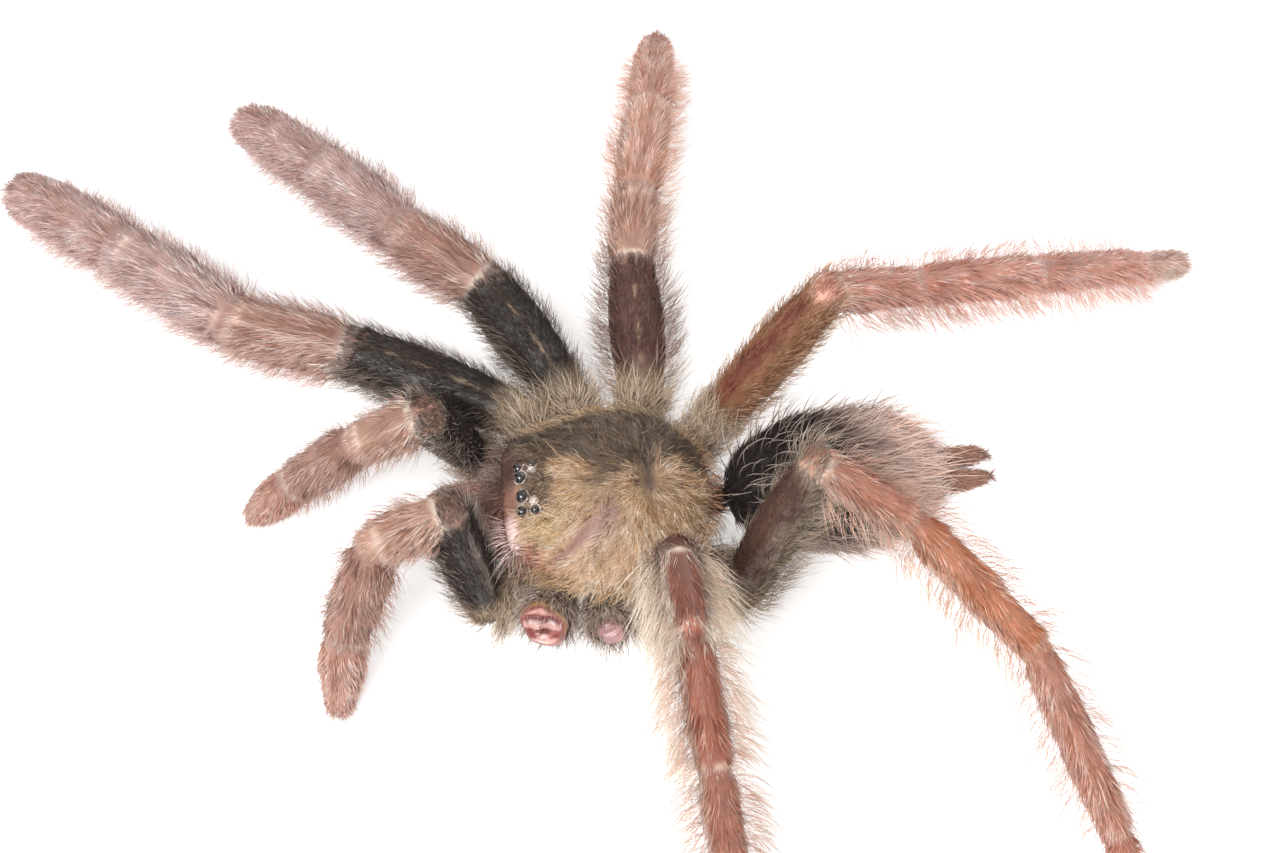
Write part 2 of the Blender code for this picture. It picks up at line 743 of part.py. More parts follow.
def main():
    """Build the spider and set the middle of its box over the origin."""
    clear_scene()
    spider = new_collection("tarantula")
    cutters = new_collection("cutters")

    stand = bpy.data.objects.new("tarantula_place", None)
    spider.objects.link(stand)
    body = bpy.data.objects.new("body_frame", None)
    spider.objects.link(body)
    body.parent = stand
    body.location = (0.0, 0.0, RIM_HEIGHT * MM)
    body.rotation_euler = (0.0, math.radians(BODY_ROLL), 0.0)

    build_eyes(spider, cutters, body)
    build_carapace(spider, cutters, body)
    build_sternum(spider, body)
    build_jaws(spider, body)
    build_abdomen(spider, body)
    build_spinnerets(spider, body)

    front_leg = {
        "coxa": BROWN_HAIR,
        "femur": BLACK_HAIR,
        "patella": PINK_TAN_HAIR,
        "tibia": PINK_TAN_HAIR,
        "metatarsus": PINK_TAN_HAIR,
        "tarsus": PINK_TAN_HAIR,
    }
    raised_leg = {**front_leg, "femur": BROWN_HAIR}
    raised_leg.update({name: RUST_HAIR for name in ("patella", "tibia", "metatarsus", "tarsus")})
    hind_leg = {**front_leg, "femur": RED_CUTICLE}
    for limb in LIMBS:
        finishes = front_leg
        if limb.name.startswith("leg_left"):
            finishes = raised_leg
        elif limb.build is LEG_4:
            finishes = hind_leg
        build_limb(limb, finishes, spider, stand)
    for name, build in STUMPS.items():
        build_stump(name, build, spider, stand)

    bpy.context.view_layer.update()
    parts = [obj for obj in spider.objects if obj.type == "MESH"]
    stand.location = -bounds_middle(parts)


main()
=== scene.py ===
"""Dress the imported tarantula: one skin, a coat of solid hairs, eyes, fangs, claws and a pale studio.

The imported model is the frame, and nothing in it is moved. Lengths are in millimetres and angles in
degrees until a mesh is made, which is in metres. The trunk is written in body coordinates, (left,
forward, up) from the middle of the back shield at the height of its rim. A limb is a chain of straight
segments, each with a yaw (0 straight out to its own side, 90 forward) and a pitch (positive upwards).
"""

import logging
import math
from collections.abc import Callable
from dataclasses import dataclass, field, replace
from enum import Enum
from functools import partial

import bpy
import numpy as np
from bpy.types import Material, Mesh, Node, NodeSocket, NodeTree, Object
from mathutils import Matrix, Vector
from mathutils.kdtree import KDTree
from numpy import (
    arange, array, clip, concatenate, cross, cumsum, diff, exp, float32, full_like, hypot, int32, interp, linspace,
    maximum, meshgrid, minimum, ones_like, stack, zeros_like,
)


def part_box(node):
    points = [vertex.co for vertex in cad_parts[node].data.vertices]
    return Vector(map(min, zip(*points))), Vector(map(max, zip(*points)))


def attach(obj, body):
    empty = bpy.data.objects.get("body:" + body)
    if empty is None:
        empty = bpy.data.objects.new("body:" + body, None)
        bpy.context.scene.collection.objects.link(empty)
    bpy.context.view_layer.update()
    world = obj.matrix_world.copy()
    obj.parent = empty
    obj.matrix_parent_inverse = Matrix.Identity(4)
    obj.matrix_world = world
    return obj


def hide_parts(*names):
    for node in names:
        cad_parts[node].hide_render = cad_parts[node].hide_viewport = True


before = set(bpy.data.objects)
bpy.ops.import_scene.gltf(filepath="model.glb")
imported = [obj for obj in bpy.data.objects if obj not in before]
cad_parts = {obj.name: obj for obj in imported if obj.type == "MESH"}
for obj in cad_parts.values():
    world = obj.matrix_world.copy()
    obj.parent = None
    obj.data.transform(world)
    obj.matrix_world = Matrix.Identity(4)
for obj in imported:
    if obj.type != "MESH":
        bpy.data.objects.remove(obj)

log = logging.getLogger("tarantula")

Array = np.ndarray
Random = np.random.Generator

MM = 0.001
SEED = 20
BODY = "root"
TINT = "tint"
BAKE_MAP = "OFBake"
PATCH = 0.003
FLOOR_CLEARANCE = 0.03
SKIN_CLEARANCE = 0.25
CLAW_CLEARANCE = 0.1
ROOT_DEPTH = 0.12
SKIN_GRAIN = 0.41
THIN_STRIP = 3.0


# ---- small tools


def linear(colour: str) -> Array:
    """Turn an sRGB hex colour into linear light, three numbers between 0 and 1."""
    parts = array([int(colour[at : at + 2], 16) / 255.0 for at in (1, 3, 5)])
    return np.where(parts <= 0.04045, parts / 12.92, ((parts + 0.055) / 1.055) ** 2.4)


def lerp(start: Array, end: Array, share: Array) -> Array:
    """Return what lies this share of the way from start to end."""
    return start + (end - start) * share


def mix(first: Array, second: Array, share: Array) -> Array:
    """Mix rows of colours by one share for each row."""
    return first + (second - first) * np.asarray(share)[..., None]


def toned(colours: Array, factor: Array) -> Array:
    """Return colours at another brightness: a lighter one is paler, as painted sheen on lit hair, and a darker one
    deeper, as painted shade in hair.

    Args:
        colours: rows of linear colours.
        factor: how many times as bright each is to be.

    Returns:
        Rows of linear colours.
    """
    colours = clip(colours, 0.002, 0.9)
    level = clip(colours.mean(axis=-1, keepdims=True), 0.01, 0.45)
    dimming = minimum(factor, 1.0) ** 0.7
    return dimming * colours ** clip(1.0 + np.log(factor / dimming) / np.log(level), 0.25, 3.0)


def layered(count: int, ground: str, *layers: tuple[str | Array, Array]) -> Array:
    """Lay colours over one another.

    Args:
        count: how many rows.
        ground: the hex colour under all others.
        layers: each further colour, hex or linear, with its share for every row.

    Returns:
        Rows of linear colours.
    """
    colours = np.tile(linear(ground), (count, 1))
    for colour, share in layers:
        colours = mix(colours, linear(colour) if isinstance(colour, str) else colour, share)
    return colours


def smooth(value: Array, low: float, high: float) -> Array:
    """Return 0 below low, 1 above high and a smooth rise between them."""
    share = clip((np.asarray(value, float) - low) / (high - low), 0.0, 1.0)
    return share * share * (3.0 - 2.0 * share)


def bump(value: Array, middle: float, reach: float) -> Array:
    """Return a bell that is 1 at its middle and about a third one reach away."""
    return exp(-(((np.asarray(value, float) - middle) / reach) ** 2.0))


def unit(vectors: Array) -> Array:
    """Return the vectors at length one."""
    return vectors / maximum(np.linalg.norm(vectors, axis=-1, keepdims=True), 1e-9)


def drift(first: Array, second: Array, seed: int) -> Array:
    """Return a smooth uneven field, for locks that lean together.

    Args:
        first: one coordinate, in sizes of a lock.
        second: the other coordinate, in sizes of a lock.
        seed: which field.

    Returns:
        Values that stay mostly between -1 and 1.
    """
    source = np.random.default_rng(seed)
    total = zeros_like(first)
    for _ in range(6):
        heading, pace, phase = source.uniform((0.0, 0.7, 0.0), (math.tau, 2.2, math.tau))
        total += np.sin((first * math.cos(heading) + second * math.sin(heading)) * pace + phase)
    return total / 2.4


def feed(node: Node, inputs: dict) -> Node:
    """Fill a node's inputs.

    Args:
        node: the node.
        inputs: what goes in, by name or number: a socket or a node's first output is linked, anything else is set.

    Returns:
        The same node.
    """
    for name, value in inputs.items():
        if isinstance(value, Node):
            value = value.outputs[0]
        if isinstance(value, NodeSocket):
            node.id_data.links.new(value, node.inputs[name])
        else:
            node.inputs[name].default_value = value
    return node


def add_node(tree: NodeTree, kind: str, settings: dict | None = None, inputs: dict | None = None) -> Node:
    """Add one node with its settings, values and links.

    Args:
        tree: the tree that gets the node.
        kind: the node's type.
        settings: its own settings by name.
        inputs: its inputs, as feed takes them.

    Returns:
        The new node.
    """
    node = tree.nodes.new(kind)
    for name, value in (settings or {}).items():
        setattr(node, name, value)
    return feed(node, inputs or {})


def mesh_object(name: str, points: Array, faces: Array, material: Material | None) -> Object:
    """Make a smooth-shaded object from arrays.

    Args:
        name: the piece's name.
        points: rows of world millimetres.
        faces: rows of three or four point numbers.
        material: its one material, or None for a helper.

    Returns:
        The object, linked to the scene, at the origin.
    """
    mesh = bpy.data.meshes.new(name)
    count, corners = faces.shape
    mesh.vertices.add(len(points))
    mesh.vertices.foreach_set("co", (points * MM).astype(float32).ravel())
    mesh.loops.add(count * corners)
    mesh.loops.foreach_set("vertex_index", faces.astype(int32).ravel())
    mesh.polygons.add(count)
    mesh.polygons.foreach_set("loop_start", arange(count, dtype=int32) * corners)
    mesh.update(calc_edges=True)
    mesh.shade_smooth()
    if material is not None:
        mesh.materials.append(material)
    piece = bpy.data.objects.new(name, mesh)
    bpy.context.scene.collection.objects.link(piece)
    return piece


def paint_points(mesh: Mesh, colours: Array) -> None:
    """Store one linear colour for each point of a mesh.

    Args:
        mesh: the mesh.
        colours: a row for each point.
    """
    layer = mesh.color_attributes.new(TINT, "FLOAT_COLOR", "POINT")
    rows = concatenate([colours, np.ones((len(colours), 1))], axis=1)
    layer.data.foreach_set("color", rows.astype(float32).ravel())


def read_points(mesh: Mesh, name: str, width: int) -> Array:
    """Return one of a mesh's point attributes as rows of this width.

    Args:
        mesh: the mesh.
        name: the attribute.
        width: how many numbers a point has, 1, 3 or 4.

    Returns:
        The rows.
    """
    layer = mesh.attributes[name]
    kind = {1: "value", 3: "vector", 4: "color"}[width]
    rows = np.empty(len(layer.data) * width, float32)
    layer.data.foreach_get(kind, rows)
    return rows.reshape(-1, width).astype(float)


def hand_over(piece: Object, slot: str, *nodes: str) -> None:
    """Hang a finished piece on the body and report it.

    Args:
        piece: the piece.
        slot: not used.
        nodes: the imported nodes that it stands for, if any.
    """
    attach(piece, BODY)
    if nodes:
        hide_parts(*nodes)
    log.info("%s: %d faces", piece.name, len(piece.data.polygons))


def hair_piece(
    name: str, points: Array, faces: Array, colours: Array, spread: Array, material: Material, slot: str
) -> None:
    """Make one piece of solid hairs and hang it on the body.

    Args:
        name: the piece's name.
        points: rows of world millimetres.
        faces: rows of three point numbers.
        colours: each point's linear colour.
        spread: each point's place on the coat's unwrap.
        material: the hairs' material.
        slot: the name of a slot of the record, handed on to hand_over.
    """
    points[:, 2] = maximum(points[:, 2], FLOOR_CLEARANCE)
    piece = mesh_object(name, points, faces, material)
    paint_points(piece.data, colours)
    layer = piece.data.uv_layers.new(name=BAKE_MAP)
    layer.data.foreach_set("uv", spread[faces.ravel()].astype(float32).ravel())
    hand_over(piece, slot)


# ---- finishes


@dataclass(frozen=True)
class Finish:
    """A procedural finish, named for the real material and how its surface was made."""

    name: str

    def begin(self, inputs: dict) -> tuple[Material, Node, NodeSocket]:
        """Start the material.

        Args:
            inputs: the shader's fixed inputs by name.

        Returns:
            The material, its shader and the object's own coordinates.
        """
        material = bpy.data.materials.new(self.name)
        material.use_nodes = True
        shader = feed(material.node_tree.nodes["Principled BSDF"], inputs)
        return material, shader, add_node(material.node_tree, "ShaderNodeTexCoord").outputs["Object"]

    def tinted(self, cloud: Node, least: float, most: float) -> NodeSocket:
        """Let clouds make the markings that are stored on a piece lighter and darker.

        Args:
            cloud: the noise.
            least: the factor where it is darkest.
            most: the factor where it is lightest.

        Returns:
            The colour.
        """
        tree = cloud.id_data
        marks = add_node(tree, "ShaderNodeAttribute", {"attribute_name": TINT}).outputs["Color"]
        span = {"Value": cloud, "From Min": 0.3, "From Max": 0.7, "To Min": least, "To Max": most}
        tone = add_node(tree, "ShaderNodeMapRange", inputs=span)
        settings = {"data_type": "RGBA", "blend_type": "MULTIPLY"}
        return add_node(tree, "ShaderNodeMix", settings, {"Factor": 1.0, 6: marks, 7: tone}).outputs[2]


@dataclass(frozen=True)
class Cuticle(Finish):
    """Chitin hide, grown and hardened: a dull lacquer with hair sockets that roughen every gleam."""

    roughness: float = 0.46
    socket_spacing: float = 0.45
    relief: float = 0.25

    def material(self) -> Material:
        """Make the hide's material, coloured by the markings stored on the skin.

        Returns:
            The material.
        """
        material, shader, place = self.begin({"IOR": 1.56, "Coat Weight": 0.12, "Coat Roughness": 0.3})
        add = partial(add_node, material.node_tree)
        # 3.2 mm clouds of lighter and darker hide
        cloud = add("ShaderNodeTexNoise", inputs={"Vector": place, "Scale": 1 / (3.2 * MM), "Detail": 5.0})
        # hair sockets, drawn about three times as coarse as real ones so that they show
        sockets = add("ShaderNodeTexVoronoi", inputs={"Vector": place, "Scale": 1 / (self.socket_spacing * MM)})
        # 1.1 mm creases
        creases = add("ShaderNodeTexNoise", inputs={"Vector": place, "Scale": 1 / (1.1 * MM), "Detail": 6.0})
        height = add("ShaderNodeMath", {"operation": "ADD"}, {0: sockets, 1: creases})
        relief = add("ShaderNodeBump", inputs={"Strength": self.relief, "Distance": 0.15 * MM, "Height": height})
        span = {"Value": creases, "To Min": self.roughness - 0.12, "To Max": self.roughness + 0.18}
        gloss = add("ShaderNodeMapRange", inputs=span)
        feed(shader, {"Base Color": self.tinted(cloud, 0.78, 1.2), "Roughness": gloss, "Normal": relief})
        return material


@dataclass(frozen=True)
class Setae(Finish):
    """Chitin hairs, grown: satin strands that gleam along their length and pale towards the tip."""

    roughness: float = 0.55
    sheen: float = 0.08
    clouds: float = 1.8

    def material(self) -> Material:
        """Make the hairs' material, coloured by the markings stored on them.

        Returns:
            The material.
        """
        material, shader, place = self.begin(
            {"IOR": 1.55, "Specular IOR Level": 0.22, "Sheen Weight": self.sheen, "Sheen Roughness": 0.4}
        )
        add = partial(add_node, material.node_tree)
        # clumps of hairs a couple of millimetres wide differ a little in tone
        cloud = add("ShaderNodeTexNoise", inputs={"Vector": place, "Scale": 1 / (self.clouds * MM), "Detail": 4.0})
        span = {"Value": cloud, "To Min": self.roughness - 0.1, "To Max": self.roughness + 0.12}
        gleam = add("ShaderNodeMapRange", inputs=span)
        feed(shader, {"Base Color": self.tinted(cloud, 0.9, 1.1), "Roughness": gleam})
        return material


@dataclass(frozen=True)
class Gloss(Finish):
    """A hard, wet-looking surface: lens, fang or healed membrane, with a thin clear layer on it."""

    dark: str
    light: str
    roughness: float
    spot: float
    coat: float = 1.0

    def material(self) -> Material:
        """Make the glossy material, with soft blotches of its two colours.

        Returns:
            The material.
        """
        material, shader, place = self.begin({"IOR": 1.52, "Coat Weight": self.coat, "Coat Roughness": 0.05})
        add = partial(add_node, material.node_tree)
        cloud = add("ShaderNodeTexNoise", inputs={"Vector": place, "Scale": 1 / (self.spot * MM), "Detail": 4.0})
        ramp = add("ShaderNodeValToRGB", inputs={"Fac": cloud})
        for element, position, colour in zip(ramp.color_ramp.elements, (0.35, 0.65), (self.dark, self.light)):
            element.position = position
            element.color = (*linear(colour), 1.0)
        span = {"Value": cloud, "To Min": self.roughness, "To Max": self.roughness + 0.1}
        feed(shader, {"Base Color": ramp, "Roughness": add("ShaderNodeMapRange", inputs=span)})
        return material


# ---- where things are


class Side(Enum):
    """The spider's own left and right, as the sign of the axis that points left."""

    LEFT = 1
    RIGHT = -1


@dataclass(frozen=True)
class BodyFrame:
    """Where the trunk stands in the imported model.

    The front middle eyes fix it: their middle lies on the body's middle plane, a known way forward.
    """

    origin: Array
    roll: float = 4.0

    @classmethod
    def from_eyes(cls, rim_height: float = 9.1, eyes_forward: float = 8.35, roll: float = 4.0) -> "BodyFrame":
        """Find the frame from the boxes of the two front middle eyes.

        Args:
            rim_height: height of the back shield's rim over the floor.
            eyes_forward: how far forward the two eyes stand.
            roll: the trunk's lean to its left, in degrees.

        Returns:
            The frame in world millimetres.
        """
        corners = [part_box(f"eye_front_middle_{side}") for side in ("left", "right")]
        middle = np.mean([array(corner) for box in corners for corner in box], axis=0) / MM
        up = (middle[2] - rim_height) / math.cos(math.radians(roll))
        shift = up * math.sin(math.radians(roll))
        return cls(array([middle[0] - shift, middle[1] + eyes_forward, rim_height]), roll)

    def turn(self, vectors: Array) -> Array:
        """Turn directions in body coordinates into world directions.

        Args:
            vectors: rows of left, forward and up.

        Returns:
            Rows of x, y and z.
        """
        lean = math.radians(self.roll)
        left, back, up = vectors[..., 0], -vectors[..., 1], vectors[..., 2]
        return stack(
            [left * math.cos(lean) + up * math.sin(lean), back, up * math.cos(lean) - left * math.sin(lean)], -1
        )

    def place(self, points: Array) -> Array:
        """Turn body coordinates into world millimetres."""
        return self.turn(np.asarray(points, float)) + self.origin


@dataclass
class Spots:
    """Places on the skin: rows of points, with the ways out, along, aside and their coordinates.

    aside points away from the middle line of the back; turn is the angle from that line in degrees.
    """

    point: Array
    out: Array
    along: Array
    aside: Array
    share: Array
    angle: Array
    turn: Array
    body: Array | None = None

    def kept(self, mask: Array) -> "Spots":
        """Return only the rows that the mask keeps."""
        return Spots(*(None if rows is None else rows[mask] for rows in vars(self).values()))


SpotRule = Callable[[Spots], Array]
Form = "Tube | Shield"


@dataclass
class Tube:
    """A form with a middle line: sections with a half width across and a half height to the back."""

    middle: Array
    along: Array
    across: Array
    back: Array
    width: Array
    height: Array
    length: float = field(init=False)
    at: Array = field(init=False)
    slope: Array = field(init=False)

    def __post_init__(self) -> None:
        """Work out how far along each section stands, and how the form tapers."""
        steps = np.linalg.norm(diff(self.middle, axis=0), axis=1)
        reach = concatenate([[0.0], cumsum(steps)])
        self.length = float(reach[-1])
        self.at = reach / self.length
        self.slope = clip(np.gradient((self.width + self.height) / 2.0, reach), -3.0, 3.0)

    @classmethod
    def straight(cls, start: Array, way: Array, across: Array, side: Side, reach: Array, radius: Array) -> "Tube":
        """Make a round tube along a straight line.

        Args:
            start: where the line begins.
            way: its direction.
            across: a rough axis across.
            side: the side that the limb stands on.
            reach: how far along each section is.
            radius: each section's radius.

        Returns:
            The tube.
        """
        across = unit(across - way * np.dot(across, way))
        back = cross(across, way) * side.value
        rows = np.ones((len(reach), 1))
        return cls(start + reach[:, None] * way, rows * way, rows * across, rows * back, radius, radius.copy())

    @classmethod
    def through(cls, middles: Array, across: Array, width: Array, height: Array) -> "Tube":
        """Make a tube through given middles, with one rough axis across.

        Args:
            middles: rows of points along the line.
            across: the axis.
            width: each section's half width.
            height: each section's half height.

        Returns:
            The tube.
        """
        along = unit(np.gradient(middles, axis=0))
        across = unit(across - along * np.sum(along * across, axis=1, keepdims=True))
        return cls(middles, along, across, cross(across, along), width, height)

    def area(self) -> float:
        """Return the area round the form, in square millimetres."""
        return float(np.sum(diff(self.at) * (self.width[1:] + self.height[1:])) * self.length * math.pi)

    def scatter(self, count: int, source: Random) -> tuple[Array, Array]:
        """Return shares along and angles round, spread evenly over the form's area.

        Args:
            count: how many places.
            source: the source of random numbers.

        Returns:
            The shares and the angles.
        """
        girth = (self.width + self.height) * np.sqrt(1.0 + self.slope**2)
        total = concatenate([[0.0], cumsum((girth[1:] + girth[:-1]) / 2.0 * diff(self.at))])
        share = interp(source.random(count) * total[-1], total, self.at)
        return share, source.uniform(0.0, math.tau, count)

    def rows(self, values: Array, share: Array) -> Array:
        """Return a section's vector between the sections."""
        return stack([interp(share, self.at, values[:, axis]) for axis in range(3)], -1)

    def spots(self, share: Array, angle: Array) -> Spots:
        """Return the places on the form at these shares along and angles round.

        Args:
            share: how far along each place is.
            angle: how far round it is.

        Returns:
            The places.
        """
        along, across, back = (unit(self.rows(v, share)) for v in (self.along, self.across, self.back))
        width, height = (interp(share, self.at, v)[:, None] for v in (self.width, self.height))
        slope = interp(share, self.at, self.slope)[:, None]
        cos, sin = np.cos(angle)[:, None], np.sin(angle)[:, None]
        mean = (width + height) / 2.0 + 1e-6
        point = self.rows(self.middle, share) + across * cos * width + back * sin * height
        out = unit(across * cos * mean / (width + 1e-3) + back * sin * mean / (height + 1e-3) - along * slope)
        flat = unit(along - out * np.sum(along * out, axis=1, keepdims=True))
        aside = unit(cross(out, flat))
        aside *= np.sign(np.sum(aside * (back * cos - across * sin), axis=1, keepdims=True)) * np.sign(-cos)
        turn = np.degrees(np.arccos(clip(sin[:, 0], -1.0, 1.0)))
        return Spots(point, out, flat, aside, share, angle, turn)

    def holds(self, points: Array) -> Array:
        """Tell which points lie inside a straight form.

        Args:
            points: rows of world millimetres.

        Returns:
            True for each point inside.
        """
        arm = points - self.middle[0]
        reach = arm @ self.along[0]
        aside = np.linalg.norm(arm - reach[:, None] * self.along[0], axis=1)
        inside = aside < interp(reach / self.length, self.at, self.width) - 0.06
        return inside & (reach > 0.0) & (reach < self.length)

    def rings(self, count: int) -> Array:
        """Return the form's sections as rings of points.

        Args:
            count: how many points each ring has.

        Returns:
            Rings by points by x, y and z.
        """
        angle = linspace(0.0, math.tau, count, endpoint=False)[None, :, None]
        across = self.across[:, None, :] * np.cos(angle) * self.width[:, None, None]
        back = self.back[:, None, :] * np.sin(angle) * self.height[:, None, None]
        return self.middle[:, None, :] + across + back


# ---- hairs


class Cover(Enum):
    """Where on a form a kind of hair grows."""

    ALL = "all round"
    SIDES = "both sides"
    UNDER = "underneath"
    PARTED = "all round, parted along the back near the joint"

    def weight(self, spots: Spots) -> Array:
        """Return the chance that a hair grows at each place.

        Args:
            spots: the places.

        Returns:
            The chances.
        """
        turn = spots.turn
        if self is Cover.SIDES:
            return smooth(turn, 25.0, 70.0) * smooth(turn, 160.0, 115.0)
        if self is Cover.UNDER:
            return smooth(turn, 75.0, 110.0)
        if self is Cover.PARTED:
            return 1.0 - 0.85 * bump(turn, 0.0, 15.0) * (1.0 - 0.7 * spots.share)
        return ones_like(turn)


@dataclass(frozen=True)
class Fur:
    """One kind of hair: its size, how thickly it stands, how it lies, and its tones.

    root and tip scale the marking's colour, the darker root being painted shade deep in the coat; pale mixes the tip
    towards a colour of its own.
    Hairs whose roots share a cell of the size of a tuft lean together by the share given by clump, and
    hairs in one streak share a tone: streaks counts them over each radian of girth.
    """

    length: float
    width: float
    thick: float
    lift: float = 14.0
    side_lift: float = 34.0
    fan: float = 16.0
    bend: float = 0.5
    scatter: float = 8.0
    lock: float = 1.6
    lean: float = 12.0
    root: float = 0.6
    tip: float = 1.25
    tone: float = 0.2
    pale: str = ""
    pale_share: float = 0.0
    tuft: float = 0.9
    clump: float = 0.45
    streaks: float = 9.0
    cover: Cover = Cover.ALL
    long: bool = False


@dataclass
class Coat:
    """Gathers hairs, each a closed spindle, and turns them into one mesh."""

    name: str
    strips: int = 1
    parts: list[tuple[Array, Array, Array, Array]] = field(default_factory=list)
    points: int = 0

    def add(
        self, paths: Array, width: Array, stops: tuple, root: Array, tip: Array, place: Array, source: Random
    ) -> None:
        """Add hairs along given paths.

        Args:
            paths: for each hair its root, one or two bends and its tip.
            width: each hair's width.
            stops: how far along the hair each of those points is.
            root: each hair's colour at its root.
            tip: each hair's colour at its tip.
            place: each root's place on the unwrap of the skin.
            source: the source of random numbers.
        """
        count, knots, _ = paths.shape
        bends = knots - 2
        paths = paths.copy()
        points = [paths[:, :1]]
        phase = source.uniform(0.0, math.tau, count)
        aim = unit(source.normal(size=(count, 3)))
        for knot in range(1, knots - 1):
            way = unit(paths[:, knot + 1] - paths[:, knot - 1])
            first = unit(cross(way, aim))
            second = cross(way, first)
            thick = (width / 2.0 * (1.0 if knot == 1 else 0.72))[:, None]
            for corner in range(3):
                angle = (phase + math.tau * corner / 3.0)[:, None]
                ring = paths[:, knot] + (first * np.cos(angle) + second * np.sin(angle)) * thick
                points.append(ring[:, None])
        points.append(paths[:, -1:])
        points = concatenate(points, axis=1)
        size = points.shape[1]

        faces = []
        for corner in range(3):
            after = (corner + 1) % 3
            faces.append((0, 1 + after, 1 + corner))
            for ring in range(bends - 1):
                low, high = 1 + 3 * ring, 4 + 3 * ring
                faces.append((low + corner, low + after, high + after))
                faces.append((low + corner, high + after, high + corner))
            last = 1 + 3 * (bends - 1)
            faces.append((last + corner, last + after, size - 1))
        faces = array(faces)[None] + (arange(count) * size)[:, None, None] + self.points

        along = concatenate([[stops[0]], np.repeat(stops[1:-1], 3), [stops[-1]]])
        across = concatenate([[0.5], np.tile((0.0, 0.5, 1.0), bends), [0.5]])
        colours = lerp(root[:, None], tip[:, None], along[None, :, None])
        spread = place[:, None] + PATCH * stack([across, along], -1)[None]
        self.parts.append(
            (points.reshape(-1, 3), faces.reshape(-1, 3), colours.reshape(-1, 3), spread.reshape(-1, 2))
        )
        self.points += count * size

    def build(self, material: Material, slot: str) -> None:
        """Make the one piece of all hairs added so far."""
        hair_piece(self.name, *(concatenate(rows) for rows in zip(*self.parts)), material, slot)


@dataclass
class Groomer:
    """Grows hairs on forms: draws their roots, combs them and colours them."""

    source: Random
    thinning: float = 1.0
    length_spread: float = 0.22
    width_spread: float = 0.2
    wobble: float = 0.12

    def grow(
        self, coat: Coat, strip: int, form: Form, fur: Fur, paint: SpotRule, where: SpotRule | None = None,
        trim: SpotRule | None = None,
    ) -> None:
        """Grow one kind of hair on a form.

        Args:
            coat: the coat that takes the hairs.
            strip: the form's strip on the coat's unwrap.
            form: the tube or shield that they grow on.
            fur: the kind of hair.
            paint: gives the marking's colour for spots.
            where: gives a further chance for spots, or None.
            trim: gives a factor on the hairs' length for spots, or None.
        """
        count = int(form.area() * fur.thick * self.thinning)
        if not count:
            return
        share, angle = form.scatter(count, self.source)
        spots = form.spots(share, angle)
        chance = fur.cover.weight(spots)
        if where is not None:
            chance = chance * where(spots)
        spots = spots.kept(self.source.random(len(share)) < chance)
        size = np.ones(len(spots.share)) if trim is None else trim(spots)
        self.plant(coat, strip, spots, fur, paint(spots), form.length, size)

    def plant(
        self, coat: Coat, strip: int, spots: Spots, fur: Fur, colours: Array, reach: float, size: Array
    ) -> None:
        """Comb hairs from given roots and add them to the coat.

        Args:
            coat: the coat that takes the hairs.
            strip: the form's strip on the coat's unwrap.
            spots: the roots.
            fur: the kind of hair.
            colours: the marking's colour at each root.
            reach: the form's length.
            size: a factor on each hair's length.
        """
        count = len(spots.share)
        if not count:
            return
        normal = self.source.normal
        locks = drift(spots.point[:, 0] / fur.lock, (spots.point[:, 1] + spots.point[:, 2]) / fur.lock, strip + 7)
        rises = drift(spots.point[:, 1] / fur.lock, (spots.point[:, 0] - spots.point[:, 2]) / fur.lock, strip + 31)
        sides = smooth(spots.turn, 20.0, 85.0)
        lift = np.radians(lerp(fur.lift, fur.side_lift, sides) + fur.scatter * normal(size=count) + 4.0 * rises)
        lift = clip(lift, 0.03, 1.5)
        fan = np.radians(
            fur.fan * smooth(spots.turn, 0.0, 40.0) + fur.scatter * normal(size=count) + fur.lean * locks
        )
        flat = spots.along * np.cos(fan)[:, None] + spots.aside * np.sin(fan)[:, None]
        late = lift * (1.0 - fur.bend)
        first = flat * np.cos(lift)[:, None] + spots.out * np.sin(lift)[:, None]
        last = unit(
            flat * np.cos(late)[:, None] + spots.out * np.sin(late)[:, None] + self.wobble * normal(size=(count, 3))
        )
        length = fur.length * (size * clip(1.0 + self.length_spread * normal(size=count), 0.45, 1.6))[:, None]
        cells = np.floor(spots.point / fur.tuft + 0.3 * locks[:, None]).astype(int)
        _, cell = np.unique(cells, axis=0, return_inverse=True)
        cell = cell.ravel()
        members = np.bincount(cell)[cell][:, None]
        middle = stack([np.bincount(cell, spots.point[:, axis])[cell] for axis in range(3)], -1) / members
        pull = (middle - spots.point) * (fur.clump * size)[:, None]
        line = np.floor(spots.angle * fur.streaks).astype(int)
        row = np.floor(spots.share * reach / 3.0 + 0.37 * line).astype(int)
        _, streak = np.unique(stack([line, row], -1), axis=0, return_inverse=True)
        streak = streak.ravel()
        shared = normal(size=streak.max() + 1)[streak]
        root = spots.point - spots.out * ROOT_DEPTH
        if fur.long:
            stops = (0.0, 0.3, 0.65, 1.0)
            bend = root + first * length * 0.3
            turn = bend + unit(first + last) * length * 0.35 + pull * 0.6
            paths = stack([root, bend, turn, turn + last * length * 0.35 + pull * 0.4], 1)
        else:
            stops = (0.0, 0.4, 1.0)
            bend = root + first * length * 0.4
            paths = stack([root, bend, bend + last * length * 0.6 + pull], 1)
        tone = exp(fur.tone * (0.5 * normal(size=count) + 0.85 * shared))[:, None]
        # a root darker than its tip is painted shade deep in the coat
        dark = toned(colours, fur.root * tone)
        light = toned(colours, fur.tip * tone)
        if fur.pale:
            light = lerp(light, toned(linear(fur.pale), tone), fur.pale_share)
        place = form_place(spots, strip, coat.strips)
        width = fur.width * clip(1.0 + self.width_spread * normal(size=count), 0.5, 1.6)
        coat.add(paths, width, stops, dark, light, place, self.source)


